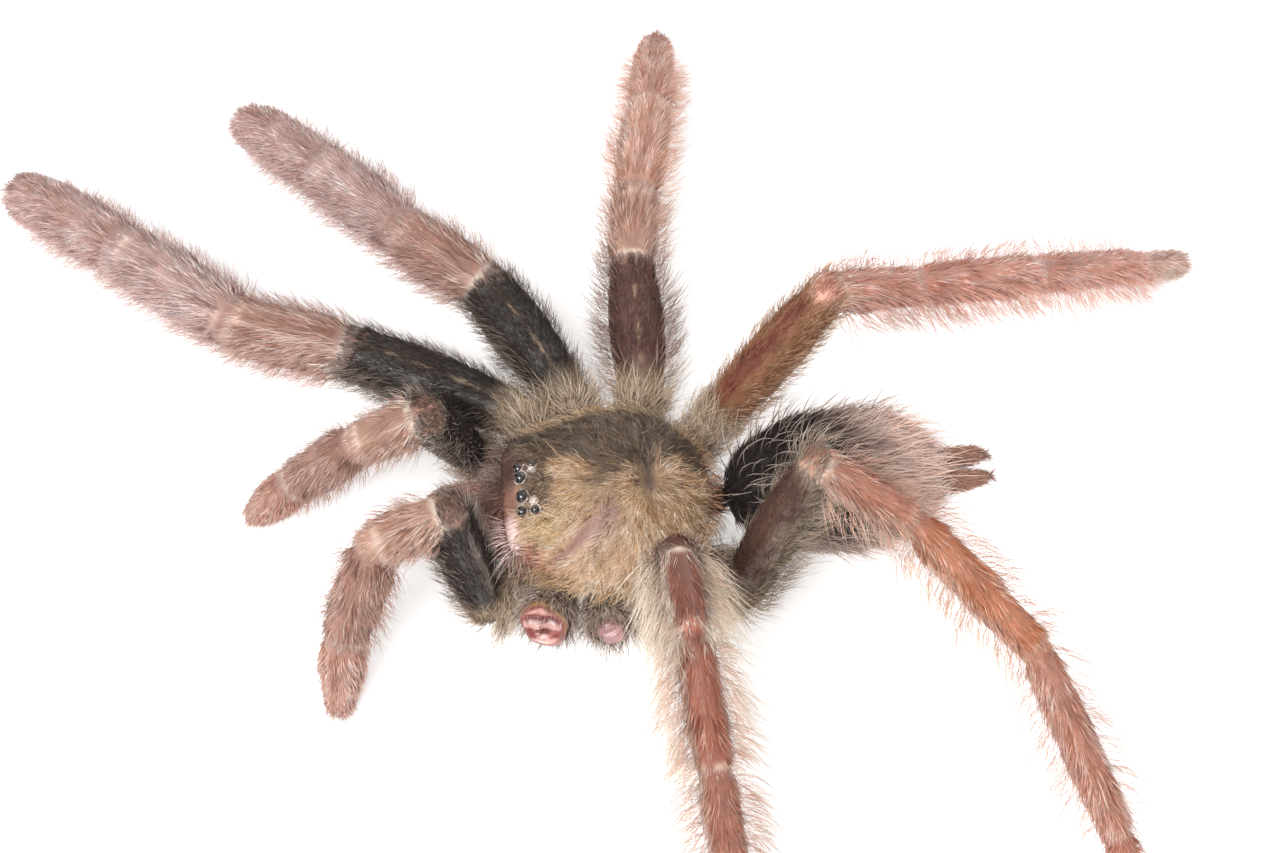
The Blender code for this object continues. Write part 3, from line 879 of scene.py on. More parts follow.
def form_place(spots: Spots, strip: int, strips: int) -> Array:
    """Return where each root lies on the unwrap: length to the right, girth upwards, a strip for each form."""
    across = (strip + 0.02 + 0.94 * (spots.angle % math.tau) / math.tau) / strips
    return stack([0.01 + 0.975 * clip(spots.share, 0.0, 1.0), across * (1.0 - PATCH)], -1)


@dataclass(frozen=True)
class Bristles:
    """Stiff single bristles: one curved spike, scattered and turned by a node tree over a patch of skin.

    length and width are in millimetres, thick counts bristles per square millimetre and curve is how far
    the tip bends over, in lengths.
    """

    name: str
    length: float
    width: float
    thick: float
    curve: float = 0.3
    lift: float = 35.0
    jitter: float = 0.25
    uneven: float = 0.35
    root: float = 0.9
    tip: float = 1.3
    pale: str = "#E6D3C9"
    pale_share: float = 0.7

    def patch(self, form: Form, chance: SpotRule, paint: SpotRule, columns: int = 48, rows: int = 60) -> Object:
        """Make the patch of a form that the bristles stand on, with their ways and chances stored on it.

        Args:
            form: the form.
            chance: gives the share of the full density for spots.
            paint: gives the marking's colour for spots.
            columns: how many points round the form.
            rows: how many points along it.

        Returns:
            The patch, a helper.
        """
        share, angle = meshgrid(linspace(0.01, 0.99, rows), linspace(0.0, math.tau, columns), indexing="ij")
        spots = form.spots(share.ravel(), angle.ravel())
        low = (arange(rows - 1)[:, None] * columns + arange(columns - 1)).ravel()
        faces = stack([low, low + 1, low + columns + 1, low + columns], -1)
        piece = mesh_object(self.name, spots.point, faces, None)
        rise = math.radians(self.lift)
        ways = spots.along * math.cos(rise) + spots.out * math.sin(rise)
        place = stack([spots.share, spots.angle / math.tau, 0.0 * spots.share], -1)
        for name, values in {"way": ways, "over": spots.out, "place": place}.items():
            layer = piece.data.attributes.new(name, "FLOAT_VECTOR", "POINT")
            layer.data.foreach_set("vector", values.astype(float32).ravel())
        layer = piece.data.attributes.new("chance", "FLOAT", "POINT")
        layer.data.foreach_set("value", chance(spots).astype(float32))
        paint_points(piece.data, paint(spots))
        return piece

    def tree(self, material: Material) -> tuple[NodeTree, dict[str, str]]:
        """Build the node tree that scatters, turns and bends the bristles.

        Args:
            material: the bristles' material.

        Returns:
            The tree and the identifiers of its named inputs.
        """
        tree = bpy.data.node_groups.new(f"{self.name}_scatter", "GeometryNodeTree")
        tree.interface.new_socket("Geometry", in_out="INPUT", socket_type="NodeSocketGeometry")
        names = {}
        for name in ("Density", "Length", "Width", "Curve", "Jitter", "Unevenness", "Seed"):
            kind = "NodeSocketInt" if name == "Seed" else "NodeSocketFloat"
            names[name] = tree.interface.new_socket(name, in_out="INPUT", socket_type=kind).identifier
        tree.interface.new_socket("Geometry", in_out="OUTPUT", socket_type="NodeSocketGeometry")
        add = partial(add_node, tree)
        given = add("NodeGroupInput").outputs
        density, length, width, curve, jitter, uneven, seed = (given[name] for name in names)
        number, vector = {"data_type": "FLOAT"}, {"data_type": "FLOAT_VECTOR"}
        less, more, times, power = ({"operation": name} for name in ("SUBTRACT", "ADD", "MULTIPLY", "POWER"))
        sizes = {"Vertices": 4, "Side Segments": 4, "Radius Top": 0.06, "Radius Bottom": 0.5, "Depth": 1.0}
        spike = add("GeometryNodeMeshCone", {"fill_type": "NGON"}, sizes)
        rise = add("ShaderNodeSeparateXYZ", inputs={0: add("GeometryNodeInputPosition")}).outputs["Z"]
        stored = {"Geometry": spike, "Name": "rise", "Value": rise}
        noted = add("GeometryNodeStoreNamedAttribute", {**number, "domain": "POINT"}, stored)
        chance, way, over, height = (
            add("GeometryNodeInputNamedAttribute", kind, {"Name": name})
            for name, kind in (("chance", number), ("way", vector), ("over", vector), ("rise", number))
        )
        dense = add("ShaderNodeMath", times, {0: density, 1: chance})
        roots = {"Mesh": given["Geometry"], "Seed": seed, "Density": dense}
        points = add("GeometryNodeDistributePointsOnFaces", inputs=roots)
        spread = {"Min": (-1.0, -1.0, -1.0), "Max": (1.0, 1.0, 1.0), "Seed": seed}
        random = add("FunctionNodeRandomValue", vector, spread)
        off = add("ShaderNodeVectorMath", {"operation": "SCALE"}, {0: random, "Scale": jitter})
        aim = add("ShaderNodeVectorMath", more, {0: way, 1: off})
        turned = add("FunctionNodeAlignRotationToVector", {"axis": "Z"}, {"Vector": aim})
        facing = {"axis": "X", "pivot_axis": "Z"}
        faced = add("FunctionNodeAlignRotationToVector", facing, {"Rotation": turned, "Vector": over})
        least, most = (add("ShaderNodeMath", change, {0: 1.0, 1: uneven}) for change in (less, more))
        size = add("FunctionNodeRandomValue", number, {2: least, 3: most, "Seed": seed}).outputs[1]
        long = add("ShaderNodeMath", times, {0: length, 1: size})
        scale = add("ShaderNodeCombineXYZ", inputs={"X": width, "Y": width, "Z": long})
        copies = {"Points": points, "Instance": noted, "Rotation": faced, "Scale": scale}
        real = add(
            "GeometryNodeRealizeInstances", inputs={"Geometry": add("GeometryNodeInstanceOnPoints", inputs=copies)}
        )
        # each spike bends back towards the skin by the square of its height
        square = add("ShaderNodeMath", power, {0: height, 1: 2.0})
        reach = add("ShaderNodeMath", times, {0: length, 1: curve})
        sag = add("ShaderNodeMath", times, {0: square, 1: reach})
        down = add("ShaderNodeMath", times, {0: sag, 1: -1.0})
        bent = add("ShaderNodeVectorMath", {"operation": "SCALE"}, {0: over, "Scale": down})
        curved = add("GeometryNodeSetPosition", inputs={"Geometry": real, "Offset": bent})
        covered = add("GeometryNodeSetMaterial", inputs={"Geometry": curved, "Material": material})
        add("NodeGroupOutput", inputs={"Geometry": covered})
        return tree, names

    def grow(self, forms: list, chance: SpotRule, paint: SpotRule, material: Material, slot: str, seed: int) -> None:
        """Grow the bristles on some forms, as one piece.

        Args:
            forms: the tubes that they stand on.
            chance: gives the share of the full density for spots.
            paint: gives the marking's colour for spots.
            material: the bristles' material.
            slot: the name of a slot of the record, handed on to hair_piece.
            seed: the seed of the scatter.
        """
        tree, names = self.tree(material)
        sizes = (self.thick / MM**2, self.length * MM, self.width * MM, self.curve, self.jitter, self.uneven)
        parts = []
        count = 0
        for number, form in enumerate(forms):
            host = self.patch(form, chance, paint)
            scatter = host.modifiers.new("scatter", "NODES")
            scatter.node_group = tree
            for name, value in zip(names.values(), (*sizes, seed + number)):
                scatter[name] = value
            graph = bpy.context.evaluated_depsgraph_get()
            mesh = bpy.data.meshes.new_from_object(host.evaluated_get(graph))
            bpy.data.objects.remove(host)
            points, place, rise = (read_points(mesh, *row) for row in (("position", 3), ("place", 3), ("rise", 1)))
            tints = read_points(mesh, TINT, 4)[:, :3]
            mesh.calc_loop_triangles()
            corners = np.empty(len(mesh.loop_triangles) * 3, int32)
            mesh.loop_triangles.foreach_get("vertices", corners)
            bpy.data.meshes.remove(mesh)
            pale = lerp(toned(tints, self.tip), linear(self.pale), self.pale_share)
            colours = lerp(toned(tints, self.root), pale, rise)
            place = place[:, :2] * (0.98, 0.98 / len(forms)) + (0.005, number / len(forms))
            spread = place + PATCH * concatenate([full_like(rise, 0.5), rise], axis=1)
            parts.append((points / MM, corners.reshape(-1, 3) + count, colours, spread))
            count += len(points)
        hair_piece(f"bristle_{self.name}", *(concatenate(rows) for rows in zip(*parts)), material, slot)


# ---- limbs


class Part(Enum):
    """The segments of a limb."""

    COXA = "coxa"
    FEMUR = "femur"
    PATELLA = "patella"
    TIBIA = "tibia"
    METATARSUS = "metatarsus"
    TARSUS = "tarsus"


@dataclass(frozen=True)
class Build:
    """Sizes shared by the limbs of one pair: radii are at the hip, at each joint and at the tip."""

    hip: tuple
    coxa_root: tuple
    lengths: tuple
    radii: tuple
    bulges: tuple
    coxa_width: float


@dataclass(frozen=True)
class LimbLook:
    """What one limb wears: colours of its segments, the skin's share of its girth and its hairs."""

    core: float
    femur: str
    patella: str
    tibia: str
    metatarsus: str
    tarsus: str
    fringe: str
    fringe_length: float
    fringe_thick: float
    pile: float
    fringe_lift: float = 52.0
    femur_fringe: str = "#B9A597"
    femur_fringe_length: float = 2.4
    femur_core: float = 0.8
    strip: str = "#C2A283"
    strip_at: float = 0.0
    strip_half: float = 1.8
    fluff: float = 0.0
    ankle: float = 0.4
    toe_dusk: float = 0.1
    knee: float = 0.25

    def colour(self, part: Part) -> str:
        """Return the colour of a segment."""
        return "#BCA088" if part is Part.COXA else getattr(self, part.value)


LEG_1 = Build(
    hip=(11.4, 7.6, -2.0), coxa_root=(4.2, 4.0, -5.2), lengths=(19.0, 13.0, 16.0, 13.0, 8.8),
    radii=(2.5, 3.5, 3.6, 3.9, 3.8, 3.2), bulges=(0.8, 0.3, 0.4, 0.2, 0.2), coxa_width=1.9,
)
LEG_2 = Build(
    hip=(12.8, 2.3, -2.0), coxa_root=(4.6, 0.9, -5.2), lengths=(16.0, 11.5, 12.5, 11.5, 8.0),
    radii=(2.5, 3.4, 3.4, 3.7, 3.6, 3.1), bulges=(0.8, 0.3, 0.4, 0.2, 0.2), coxa_width=1.9,
)
LEG_3 = Build(
    hip=(12.7, -5.2, -2.2), coxa_root=(4.5, -2.3, -5.2), lengths=(15.5, 9.0, 12.5, 12.5, 8.2),
    radii=(2.5, 3.0, 3.0, 3.2, 2.9, 2.2), bulges=(0.8, 0.3, 0.5, 0.3, 0.2), coxa_width=1.9,
)
LEG_4 = Build(
    hip=(9.6, -12.8, -2.0), coxa_root=(3.7, -5.6, -5.2), lengths=(19.5, 10.5, 16.5, 19.0, 8.8),
    radii=(2.5, 3.0, 3.1, 3.1, 2.8, 2.2), bulges=(0.6, 0.3, 0.5, 0.5, 0.2), coxa_width=2.1,
)
PALP = Build(
    hip=(8.4, 12.8, -4.2), coxa_root=(3.2, 6.9, -5.8), lengths=(14.0, 7.1, 10.5, 9.8),
    radii=(2.1, 2.9, 2.8, 2.9, 2.4), bulges=(0.4, 0.2, 0.4, 0.2), coxa_width=1.7,
)

FRONT_LOOK = LimbLook(
    core=0.74, femur="#35271F", patella="#C89684", tibia="#E0BAB0", metatarsus="#DDB2A7", tarsus="#DDAC9F",
    fringe="#DDBFB6", fringe_length=3.6, fringe_thick=9.0, pile=2.9, ankle=0.0,
)
THIRD_LOOK = LimbLook(
    core=0.68, femur="#6A4337", patella="#D8A48E", tibia="#F9BEA6", metatarsus="#F0B198", tarsus="#E8A489",
    fringe="#E6CBBB", fringe_length=4.4, fringe_thick=9.5, pile=2.8, ankle=0.0, toe_dusk=0.6, femur_fringe="#DEC5B9",
    femur_fringe_length=4.4,
)
HIND_LOOK = LimbLook(
    core=0.54, strip="#8A4C3A", strip_half=22.0, femur="#A87352", patella="#E4A28C", tibia="#EFAA93",
    metatarsus="#F2AF9A", tarsus="#FFCDB9", fringe="#E8C4B3", fringe_length=5.2, fringe_thick=10.0, pile=2.6,
    toe_dusk=0.2, knee=0.8, femur_fringe="#C9A98C",
)
STEEP_RUST_LOOK = LimbLook(
    core=0.45, femur="#765040", patella="#935847", tibia="#B4664E", metatarsus="#C27B64", tarsus="#C1745C",
    fringe="#FFE3CB", fringe_length=5.8, fringe_thick=17.0, pile=2.2, fringe_lift=58.0, femur_fringe="#D8C8B8",
    fluff=1.0,
)
LONG_RUST_LOOK = LimbLook(
    core=0.45, strip="#5E3E33", strip_at=30.0, strip_half=70.0, femur="#94806E", patella="#D08C72", tibia="#DC8A62",
    metatarsus="#DD9A82", tarsus="#D68A70", fringe="#E6CBB6", fringe_length=5.2, fringe_thick=7.5, pile=2.4,
    fringe_lift=58.0, femur_fringe="#B3A08C", femur_fringe_length=3.6, fluff=0.35,
)
# the palps' grey femur strip, #857770, is a painted highlight along the dark femur
PALP_LOOK = LimbLook(
    core=0.69, strip="#857770", strip_at=-14.0, strip_half=9.0, femur="#3C302D", patella="#CA9A84", tibia="#BC8B79",
    metatarsus="#BC8B79", tarsus="#DBA38E", fringe="#CFB0A4", fringe_length=2.9, fringe_thick=7.0, pile=2.3,
)
FAR_PALP_LOOK = replace(PALP_LOOK, strip_half=1.5)


@dataclass
class Segment:
    """One segment of a limb as the skin has it, with a round cap beyond each joint."""

    part: Part
    tube: Tube
    look: LimbLook
    caps: tuple[float, float] = (0.0, 0.0)

    def reach(self, spots: Spots) -> Array:
        """Return how far past its first joint each place lies."""
        return spots.share * self.tube.length - self.caps[0]

    def rest(self, spots: Spots) -> Array:
        """Return how far short of its last joint each place lies."""
        return (1.0 - spots.share) * self.tube.length - self.caps[1]

    def trim(self, spots: Spots) -> Array:
        """Return the factor on the hairs' length: they get shorter towards a joint, which leaves a notch.

        Args:
            spots: the places.

        Returns:
            The factors.
        """
        if self.part in (Part.COXA, Part.FEMUR, Part.TARSUS):
            return ones_like(spots.turn)
        least = lerp(0.85, 0.4, self.look.ankle / 0.4) if self.part is Part.METATARSUS else 0.4
        return lerp(1.0, least, smooth(self.rest(spots), 2.4, 0.4) * smooth(spots.turn, 115.0, 80.0))

    def rims(self, spots: Spots) -> Array:
        """Return how much of the pale rim of a joint shows at each place.

        Args:
            spots: the places.

        Returns:
            Shares of the rim.
        """
        first = 1.0 if self.part is Part.PATELLA else 0.0
        rims = {Part.FEMUR: 0.3, Part.PATELLA: 0.7, Part.TIBIA: 0.7, Part.METATARSUS: self.look.ankle}
        last = rims.get(self.part, 0.0)
        back = smooth(spots.turn, 110.0, 75.0)
        return back * (first * bump(self.reach(spots), 0.75, 0.3) + last * bump(self.rest(spots), 0.35, 0.35))

    def strip(self, spots: Spots) -> Array:
        """Return how much each place belongs to the femur's strip, a thin line or a wide bald band; on the palps the
        band's grey is a painted highlight.

        Args:
            spots: the places.

        Returns:
            Shares of the strip.
        """
        if self.part is not Part.FEMUR:
            return zeros_like(spots.turn)
        aside = (np.degrees(spots.angle) + 90.0) % 360.0 - 180.0 - self.look.strip_at
        half = self.look.strip_half
        ends = smooth(self.reach(spots), 1.0, 3.5) * smooth(self.rest(spots), 0.5, 2.6)
        ragged = drift(spots.share * self.tube.length / 0.9, spots.angle * 4.0, 17)
        if half < THIN_STRIP:
            return smooth(np.abs(aside), half + 1.5, half - 0.5) * ends * smooth(ragged, -0.5, 0.3)
        return smooth(np.abs(aside) + 0.22 * half * ragged, half * 1.35, half * 0.7) * ends

    def paint(self, spots: Spots) -> Array:
        """Return the marking's colour: the segment's own, a pale rim at each joint, a strip on the femur, and painted
        shade in each joint's crease.

        Args:
            spots: the places.

        Returns:
            Their colours.
        """
        look, part = self.look, self.part
        own = look.colour(part)
        if part is Part.COXA:
            return layered(len(spots.share), own)
        share = self.reach(spots) / (self.tube.length - sum(self.caps))
        back = smooth(spots.turn, 105.0, 60.0)
        if part is Part.FEMUR:
            layers = [
                (look.femur_fringe, 0.45 * smooth(spots.turn, 70.0, 125.0)),
                ("#B79C80", 0.8 * smooth(share, 0.2, 0.02)),
                (look.patella, look.knee * smooth(share, 0.95, 1.04) * back),
                (look.strip, (0.45 if look.strip_half < THIN_STRIP else 0.95) * self.strip(spots)),
            ]
        else:
            dusk = bump(spots.turn, 0.0, 24.0) * clip(1.0 - 0.8 * share, 0.0, 1.0)
            # a darker copy of the segment's own colour on the back just past the joint, where the tube is notched:
            # painted shade in the joint's crease
            deep = {Part.PATELLA: 0.0, Part.TARSUS: look.ankle}.get(part, 1.0)
            crease_shade = deep * bump(self.reach(spots), 0.5, 0.7)
            sides = smooth(spots.turn, 35.0, 75.0) * smooth(share, 1.5, 0.8)
            fluff = look.fluff * {Part.PATELLA: 1.0, Part.TIBIA: 0.7, Part.METATARSUS: 0.35}.get(part, 0.0)
            layers = [
                ("#96604F", 0.5 * dusk), (toned(linear(own), 0.45), 0.7 * crease_shade * back), (look.fringe, fluff * sides)
            ]
        if part is Part.TARSUS:
            tip = bump(self.rest(spots), 2.6, 1.5) * smooth(spots.turn, 60.0, 20.0)
            layers.append(("#A46657", look.toe_dusk * tip))
        layers.append(("#EEDCCC", clip(0.95 * self.rims(spots), 0.0, 1.0)))
        return layered(len(spots.share), own, *layers)

    def bare(self, spots: Spots, fringed: bool = False) -> Array:
        """Return the chance of hair: a thin rim by a joint is sparse, and only velvet grows on a wide strip.

        Args:
            spots: the places.
            fringed: whether the hair is the long fringe.

        Returns:
            The chances.
        """
        chance = clip(1.0 - 0.7 * self.rims(spots), 0.0, 1.0) * smooth(spots.turn, 190.0, 110.0)
        if self.part in (Part.PATELLA, Part.TIBIA, Part.METATARSUS):
            chance = chance * smooth(self.reach(spots), -0.9, 0.2)
        missing = 0.97 if fringed or self.look.strip_half < THIN_STRIP else 0.3
        return chance * (1.0 - missing * self.strip(spots))

    def open_places(self, spots: Spots, near: list["Segment"], fringed: bool) -> Array:
        """Return the chance of hair, none where a neighbour covers the skin."""
        covered = np.any([other.tube.holds(spots.point) for other in near], axis=0)
        return self.bare(spots, fringed) * ~covered

    def furs(self) -> tuple[Fur, ...]:
        """Return the kinds of hair that the segment wears.

        Returns:
            The kinds, the short one first.
        """
        look = self.look
        if self.part is Part.COXA:
            return (
                Fur(1.8, 0.08, 14.0, lift=30.0, side_lift=40.0, fan=10.0, scatter=16.0, root=0.6, tip=1.5, tone=0.3),
                Fur(
                    3.9, 0.06, 10.0, lift=42.0, side_lift=46.0, scatter=20.0, bend=1.5, lean=30.0, root=1.0,
                    pale="#E6CFAC", pale_share=0.75, long=True,
                ),
            )
        if self.part is Part.FEMUR:
            fringe = replace(FEMUR_FRINGE, length=look.femur_fringe_length, pale=look.femur_fringe)
            return (FEMUR_PILE, fringe)
        strands = replace(STRANDS, length=look.pile)
        if self.part is Part.TARSUS:
            return (replace(strands, length=look.pile * 0.8, lift=10.0, side_lift=20.0, cover=Cover.ALL), PAD)
        thick = look.fringe_thick * (0.65 if self.part is Part.METATARSUS else 1.0)
        fringe = replace(FRINGE, length=look.fringe_length, thick=thick, side_lift=look.fringe_lift, pale=look.fringe)
        return (strands, fringe)


STRANDS = Fur(
    3.0, 0.095, 18.0, lift=6.0, side_lift=13.0, fan=20.0, scatter=3.5, lean=7.0, root=0.72, tip=1.42, tone=0.34,
    tuft=0.6, clump=0.35, cover=Cover.PARTED,
)
FRINGE = Fur(
    3.8, 0.055, 9.0, lift=22.0, side_lift=54.0, fan=26.0, scatter=7.0, bend=0.5, root=0.8, tip=1.3, pale="#E9D2CA",
    pale_share=0.6, tuft=1.2, clump=0.2, cover=Cover.SIDES,
)
FEMUR_PILE = Fur(1.1, 0.09, 30.0, lift=14.0, side_lift=26.0, fan=8.0, scatter=7.0, root=0.62, tip=1.2, tone=0.26)
FEMUR_FRINGE = Fur(
    2.4, 0.06, 9.0, lift=30.0, side_lift=54.0, fan=18.0, scatter=10.0, root=1.0, tip=1.6, pale="#B9A597",
    pale_share=0.75, tuft=1.2, clump=0.25, cover=Cover.SIDES,
)
PAD = Fur(0.8, 0.1, 18.0, lift=40.0, side_lift=55.0, fan=14.0, root=0.5, tip=0.7, cover=Cover.UNDER)


@dataclass
class Limb:
    """One leg or palp in its pose, as a chain of segments from the hip to the tip."""

    name: str
    build: Build
    side: Side
    yaws: tuple
    pitches: tuple
    look: LimbLook
    body: BodyFrame
    toe_profile: tuple = ((0.6, 1.0), (0.28, 0.9), (0.08, 0.68), (0.0, 0.4))
    toe_press: float = 0.6
    toe_back: float = 0.35
    cap: float = 0.9
    inward: float = 2.4
    coxa_core: float = 0.88
    coxa_depth: float = 1.2
    palp_toe: float = 0.72
    steps: int = 26
    segments: list[Segment] = field(default_factory=list)

    def heading(self, yaw: float, pitch: float) -> Array:
        """Return the direction of a segment.

        Args:
            yaw: its turn forward from straight out.
            pitch: its rise.

        Returns:
            A vector of length one.
        """
        turn, rise = math.radians(yaw), math.radians(pitch)
        flat = math.cos(rise)
        return array([self.side.value * flat * math.cos(turn), -flat * math.sin(turn), math.sin(rise)])

    def level_axis(self, yaw: float) -> Array:
        """Return the level axis across a segment."""
        turn = math.radians(yaw)
        return array([-self.side.value * math.sin(turn), -math.cos(turn), 0.0])

    def toe_drop(self, ankle_height: float) -> float:
        """Return the last segment's pitch, so that its blunt end just presses on the floor.

        Args:
            ankle_height: how high the segment begins.

        Returns:
            The pitch in degrees.
        """
        length, radius = self.build.lengths[-1], self.build.radii[-1]
        drop = -0.5
        for _ in range(6):
            depth = max(share * math.cos(drop) + back_off * math.sin(drop) for back_off, share in self.toe_profile)
            drop = math.asin((depth * radius - self.toe_press - ankle_height) / length)
        return math.degrees(drop)

    def corners(self) -> tuple[list[Array], list[Array], list[float]]:
        """Return the chain's corners, its directions and its yaws, from the coxa's root to the tip.

        Returns:
            The corners, the directions and the yaws.
        """
        sign = array([self.side.value, 1.0, 1.0])
        root, hip = (self.body.place(array(p) * sign) for p in (self.build.coxa_root, self.build.hip))
        points, ways = [root, hip], [unit(hip - root)]
        for length, yaw, pitch in zip(self.build.lengths, self.yaws, self.pitches):
            ways.append(self.heading(yaw, pitch))
            points.append(points[-1] + ways[-1] * length)
        ways.append(self.heading(self.yaws[-1], self.toe_drop(points[-1][2])))
        points.append(points[-1] + ways[-1] * self.build.lengths[-1])
        coxa_yaw = math.degrees(math.atan2(-ways[0][1], self.side.value * ways[0][0]))
        return points, ways, [coxa_yaw, *self.yaws]

    def shape(self) -> None:
        """Work out every segment's form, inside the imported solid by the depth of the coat."""
        points, ways, yaws = self.corners()
        walking = len(self.build.lengths) == 5
        parts = [Part.FEMUR, Part.PATELLA, Part.TIBIA, *([Part.METATARSUS] if walking else []), Part.TARSUS]
        share = linspace(0.0, 1.0, self.steps)
        length = float(np.linalg.norm(points[1] - points[0])) + self.inward
        girth = interp(share, (0.0, 0.3, 0.5, 0.8, 1.0), (1.2, 1.2, 1.55, self.build.coxa_width, 2.1))
        across = self.level_axis(yaws[0])
        start = points[0] - ways[0] * self.inward
        coxa = Tube.straight(start, ways[0], across, self.side, share * length, girth * self.coxa_core)
        coxa.height = coxa.height * self.coxa_depth
        self.segments = [Segment(Part.COXA, coxa, self.look)]
        for number, part in enumerate(parts):
            length = self.build.lengths[number]
            core = self.look.femur_core if part is Part.FEMUR else self.look.core
            knee_core = lerp(self.look.core, self.look.femur_core, 0.3)
            shares = {Part.FEMUR: (core, knee_core), Part.PATELLA: (knee_core, core)}.get(part, (core, core))
            low, high = (radius * size for radius, size in zip(self.build.radii[number : number + 2], shares))
            tip = part is Part.TARSUS
            caps = (self.cap * low, 0.0 if tip else self.cap * high)
            end = length - self.toe_back if tip else length + caps[1]
            reach = concatenate(
                [
                    linspace(-caps[0], 0.0, 9)[:-1], linspace(0.0, length - high, self.steps)[:-1],
                    length - high + (end - length + high) * np.sin(linspace(0.0, math.pi / 2.0, 18)),
                ],
            )
            inner = clip(reach / length, 0.0, 1.0)
            radius = lerp(low, high, inner) + core * self.build.bulges[number] * np.sin(math.pi * inner)
            notch = {Part.TIBIA: 0.13, Part.METATARSUS: 0.13, Part.TARSUS: 0.3 * self.look.ankle}.get(part, 0.05)
            radius *= 1.0 + 0.06 * bump(length - reach, 0.6, 0.5) - notch * bump(reach, 0.1, 0.8)
            radius *= np.sqrt(clip(1.0 - (minimum(reach, 0.0) / low) ** 2.0, 0.0, 1.0))
            if tip:
                stops, sizes = zip(*sorted(self.toe_profile))
                stops = array([0.0, *(stop * self.build.radii[number + 1] + 0.06 for stop in stops)])
                radius *= interp(end - reach, stops, [0.05, *sizes])
                if not walking:
                    radius *= lerp(1.0, self.palp_toe, smooth(inner, 0.35, 1.0))
            else:
                radius *= np.sqrt(clip(1.0 - (maximum(reach - length, 0.0) / high) ** 2.0, 0.0, 1.0))
            tube = Tube.straight(
                points[number + 1], ways[number + 1], self.level_axis(yaws[number + 1]), self.side, reach, radius
            )
            self.segments.append(Segment(part, tube, self.look, caps))

    def dress(self, groomer: Groomer, material: Material) -> None:
        """Grow the limb's coat and turn it into one piece.

        Args:
            groomer: grows the hairs.
            material: the hairs' material.
        """
        coat = Coat(f"coat_{self.name}", len(self.segments))
        for strip, segment in enumerate(self.segments):
            near = self.segments[max(0, strip - 1) : strip] + self.segments[strip + 1 : strip + 2]
            for fur in segment.furs():
                fringed = fur.cover is Cover.SIDES
                chance = partial(segment.open_places, near=near, fringed=fringed)
                groomer.grow(coat, strip, segment.tube, fur, segment.paint, chance, segment.trim)
        slot = "rust_leg_coat" if self.look in (STEEP_RUST_LOOK, LONG_RUST_LOOK) else "tan_leg_coat"
        coat.build(material, slot)


def make_limbs(body: BodyFrame) -> list[Limb]:
    """Return the eight limbs in their pose.

    Args:
        body: where the trunk stands.

    Returns:
        The limbs, right side first.
    """
    left, right = Side.LEFT, Side.RIGHT
    limbs = [
        Limb("leg_right_1", LEG_1, right, (63, 68, 48, 44, 44), (4, -1, -3, -13), FRONT_LOOK, body),
        Limb("leg_right_2", LEG_2, right, (29, 48, 39, 35, 36), (5, 4, -6, -22), FRONT_LOOK, body),
        Limb("leg_right_3", LEG_3, right, (-2, -9, -13, -10, -11), (6, 6, -3, -24), THIRD_LOOK, body),
        Limb("leg_right_4", LEG_4, right, (-71, -75, -74, -69, -69), (56, -21, -21, -29), HIND_LOOK, body),
        Limb("leg_left_3", LEG_3, left, (1, -1, -7, -9, -8), (91, 13, -39, -47), STEEP_RUST_LOOK, body),
        Limb("leg_left_4", LEG_4, left, (-120, -61, -42, -23, -23), (69, -20, -20, -30), LONG_RUST_LOOK, body),
        Limb("palp_right", PALP, right, (121, 94, 87, 85), (69, -25, -46), FAR_PALP_LOOK, body),
        Limb("palp_left", PALP, left, (144, 73, 36, 21), (69, -7, -50), PALP_LOOK, body),
    ]
    for limb in limbs:
        limb.shape()
    return limbs


# ---- trunk


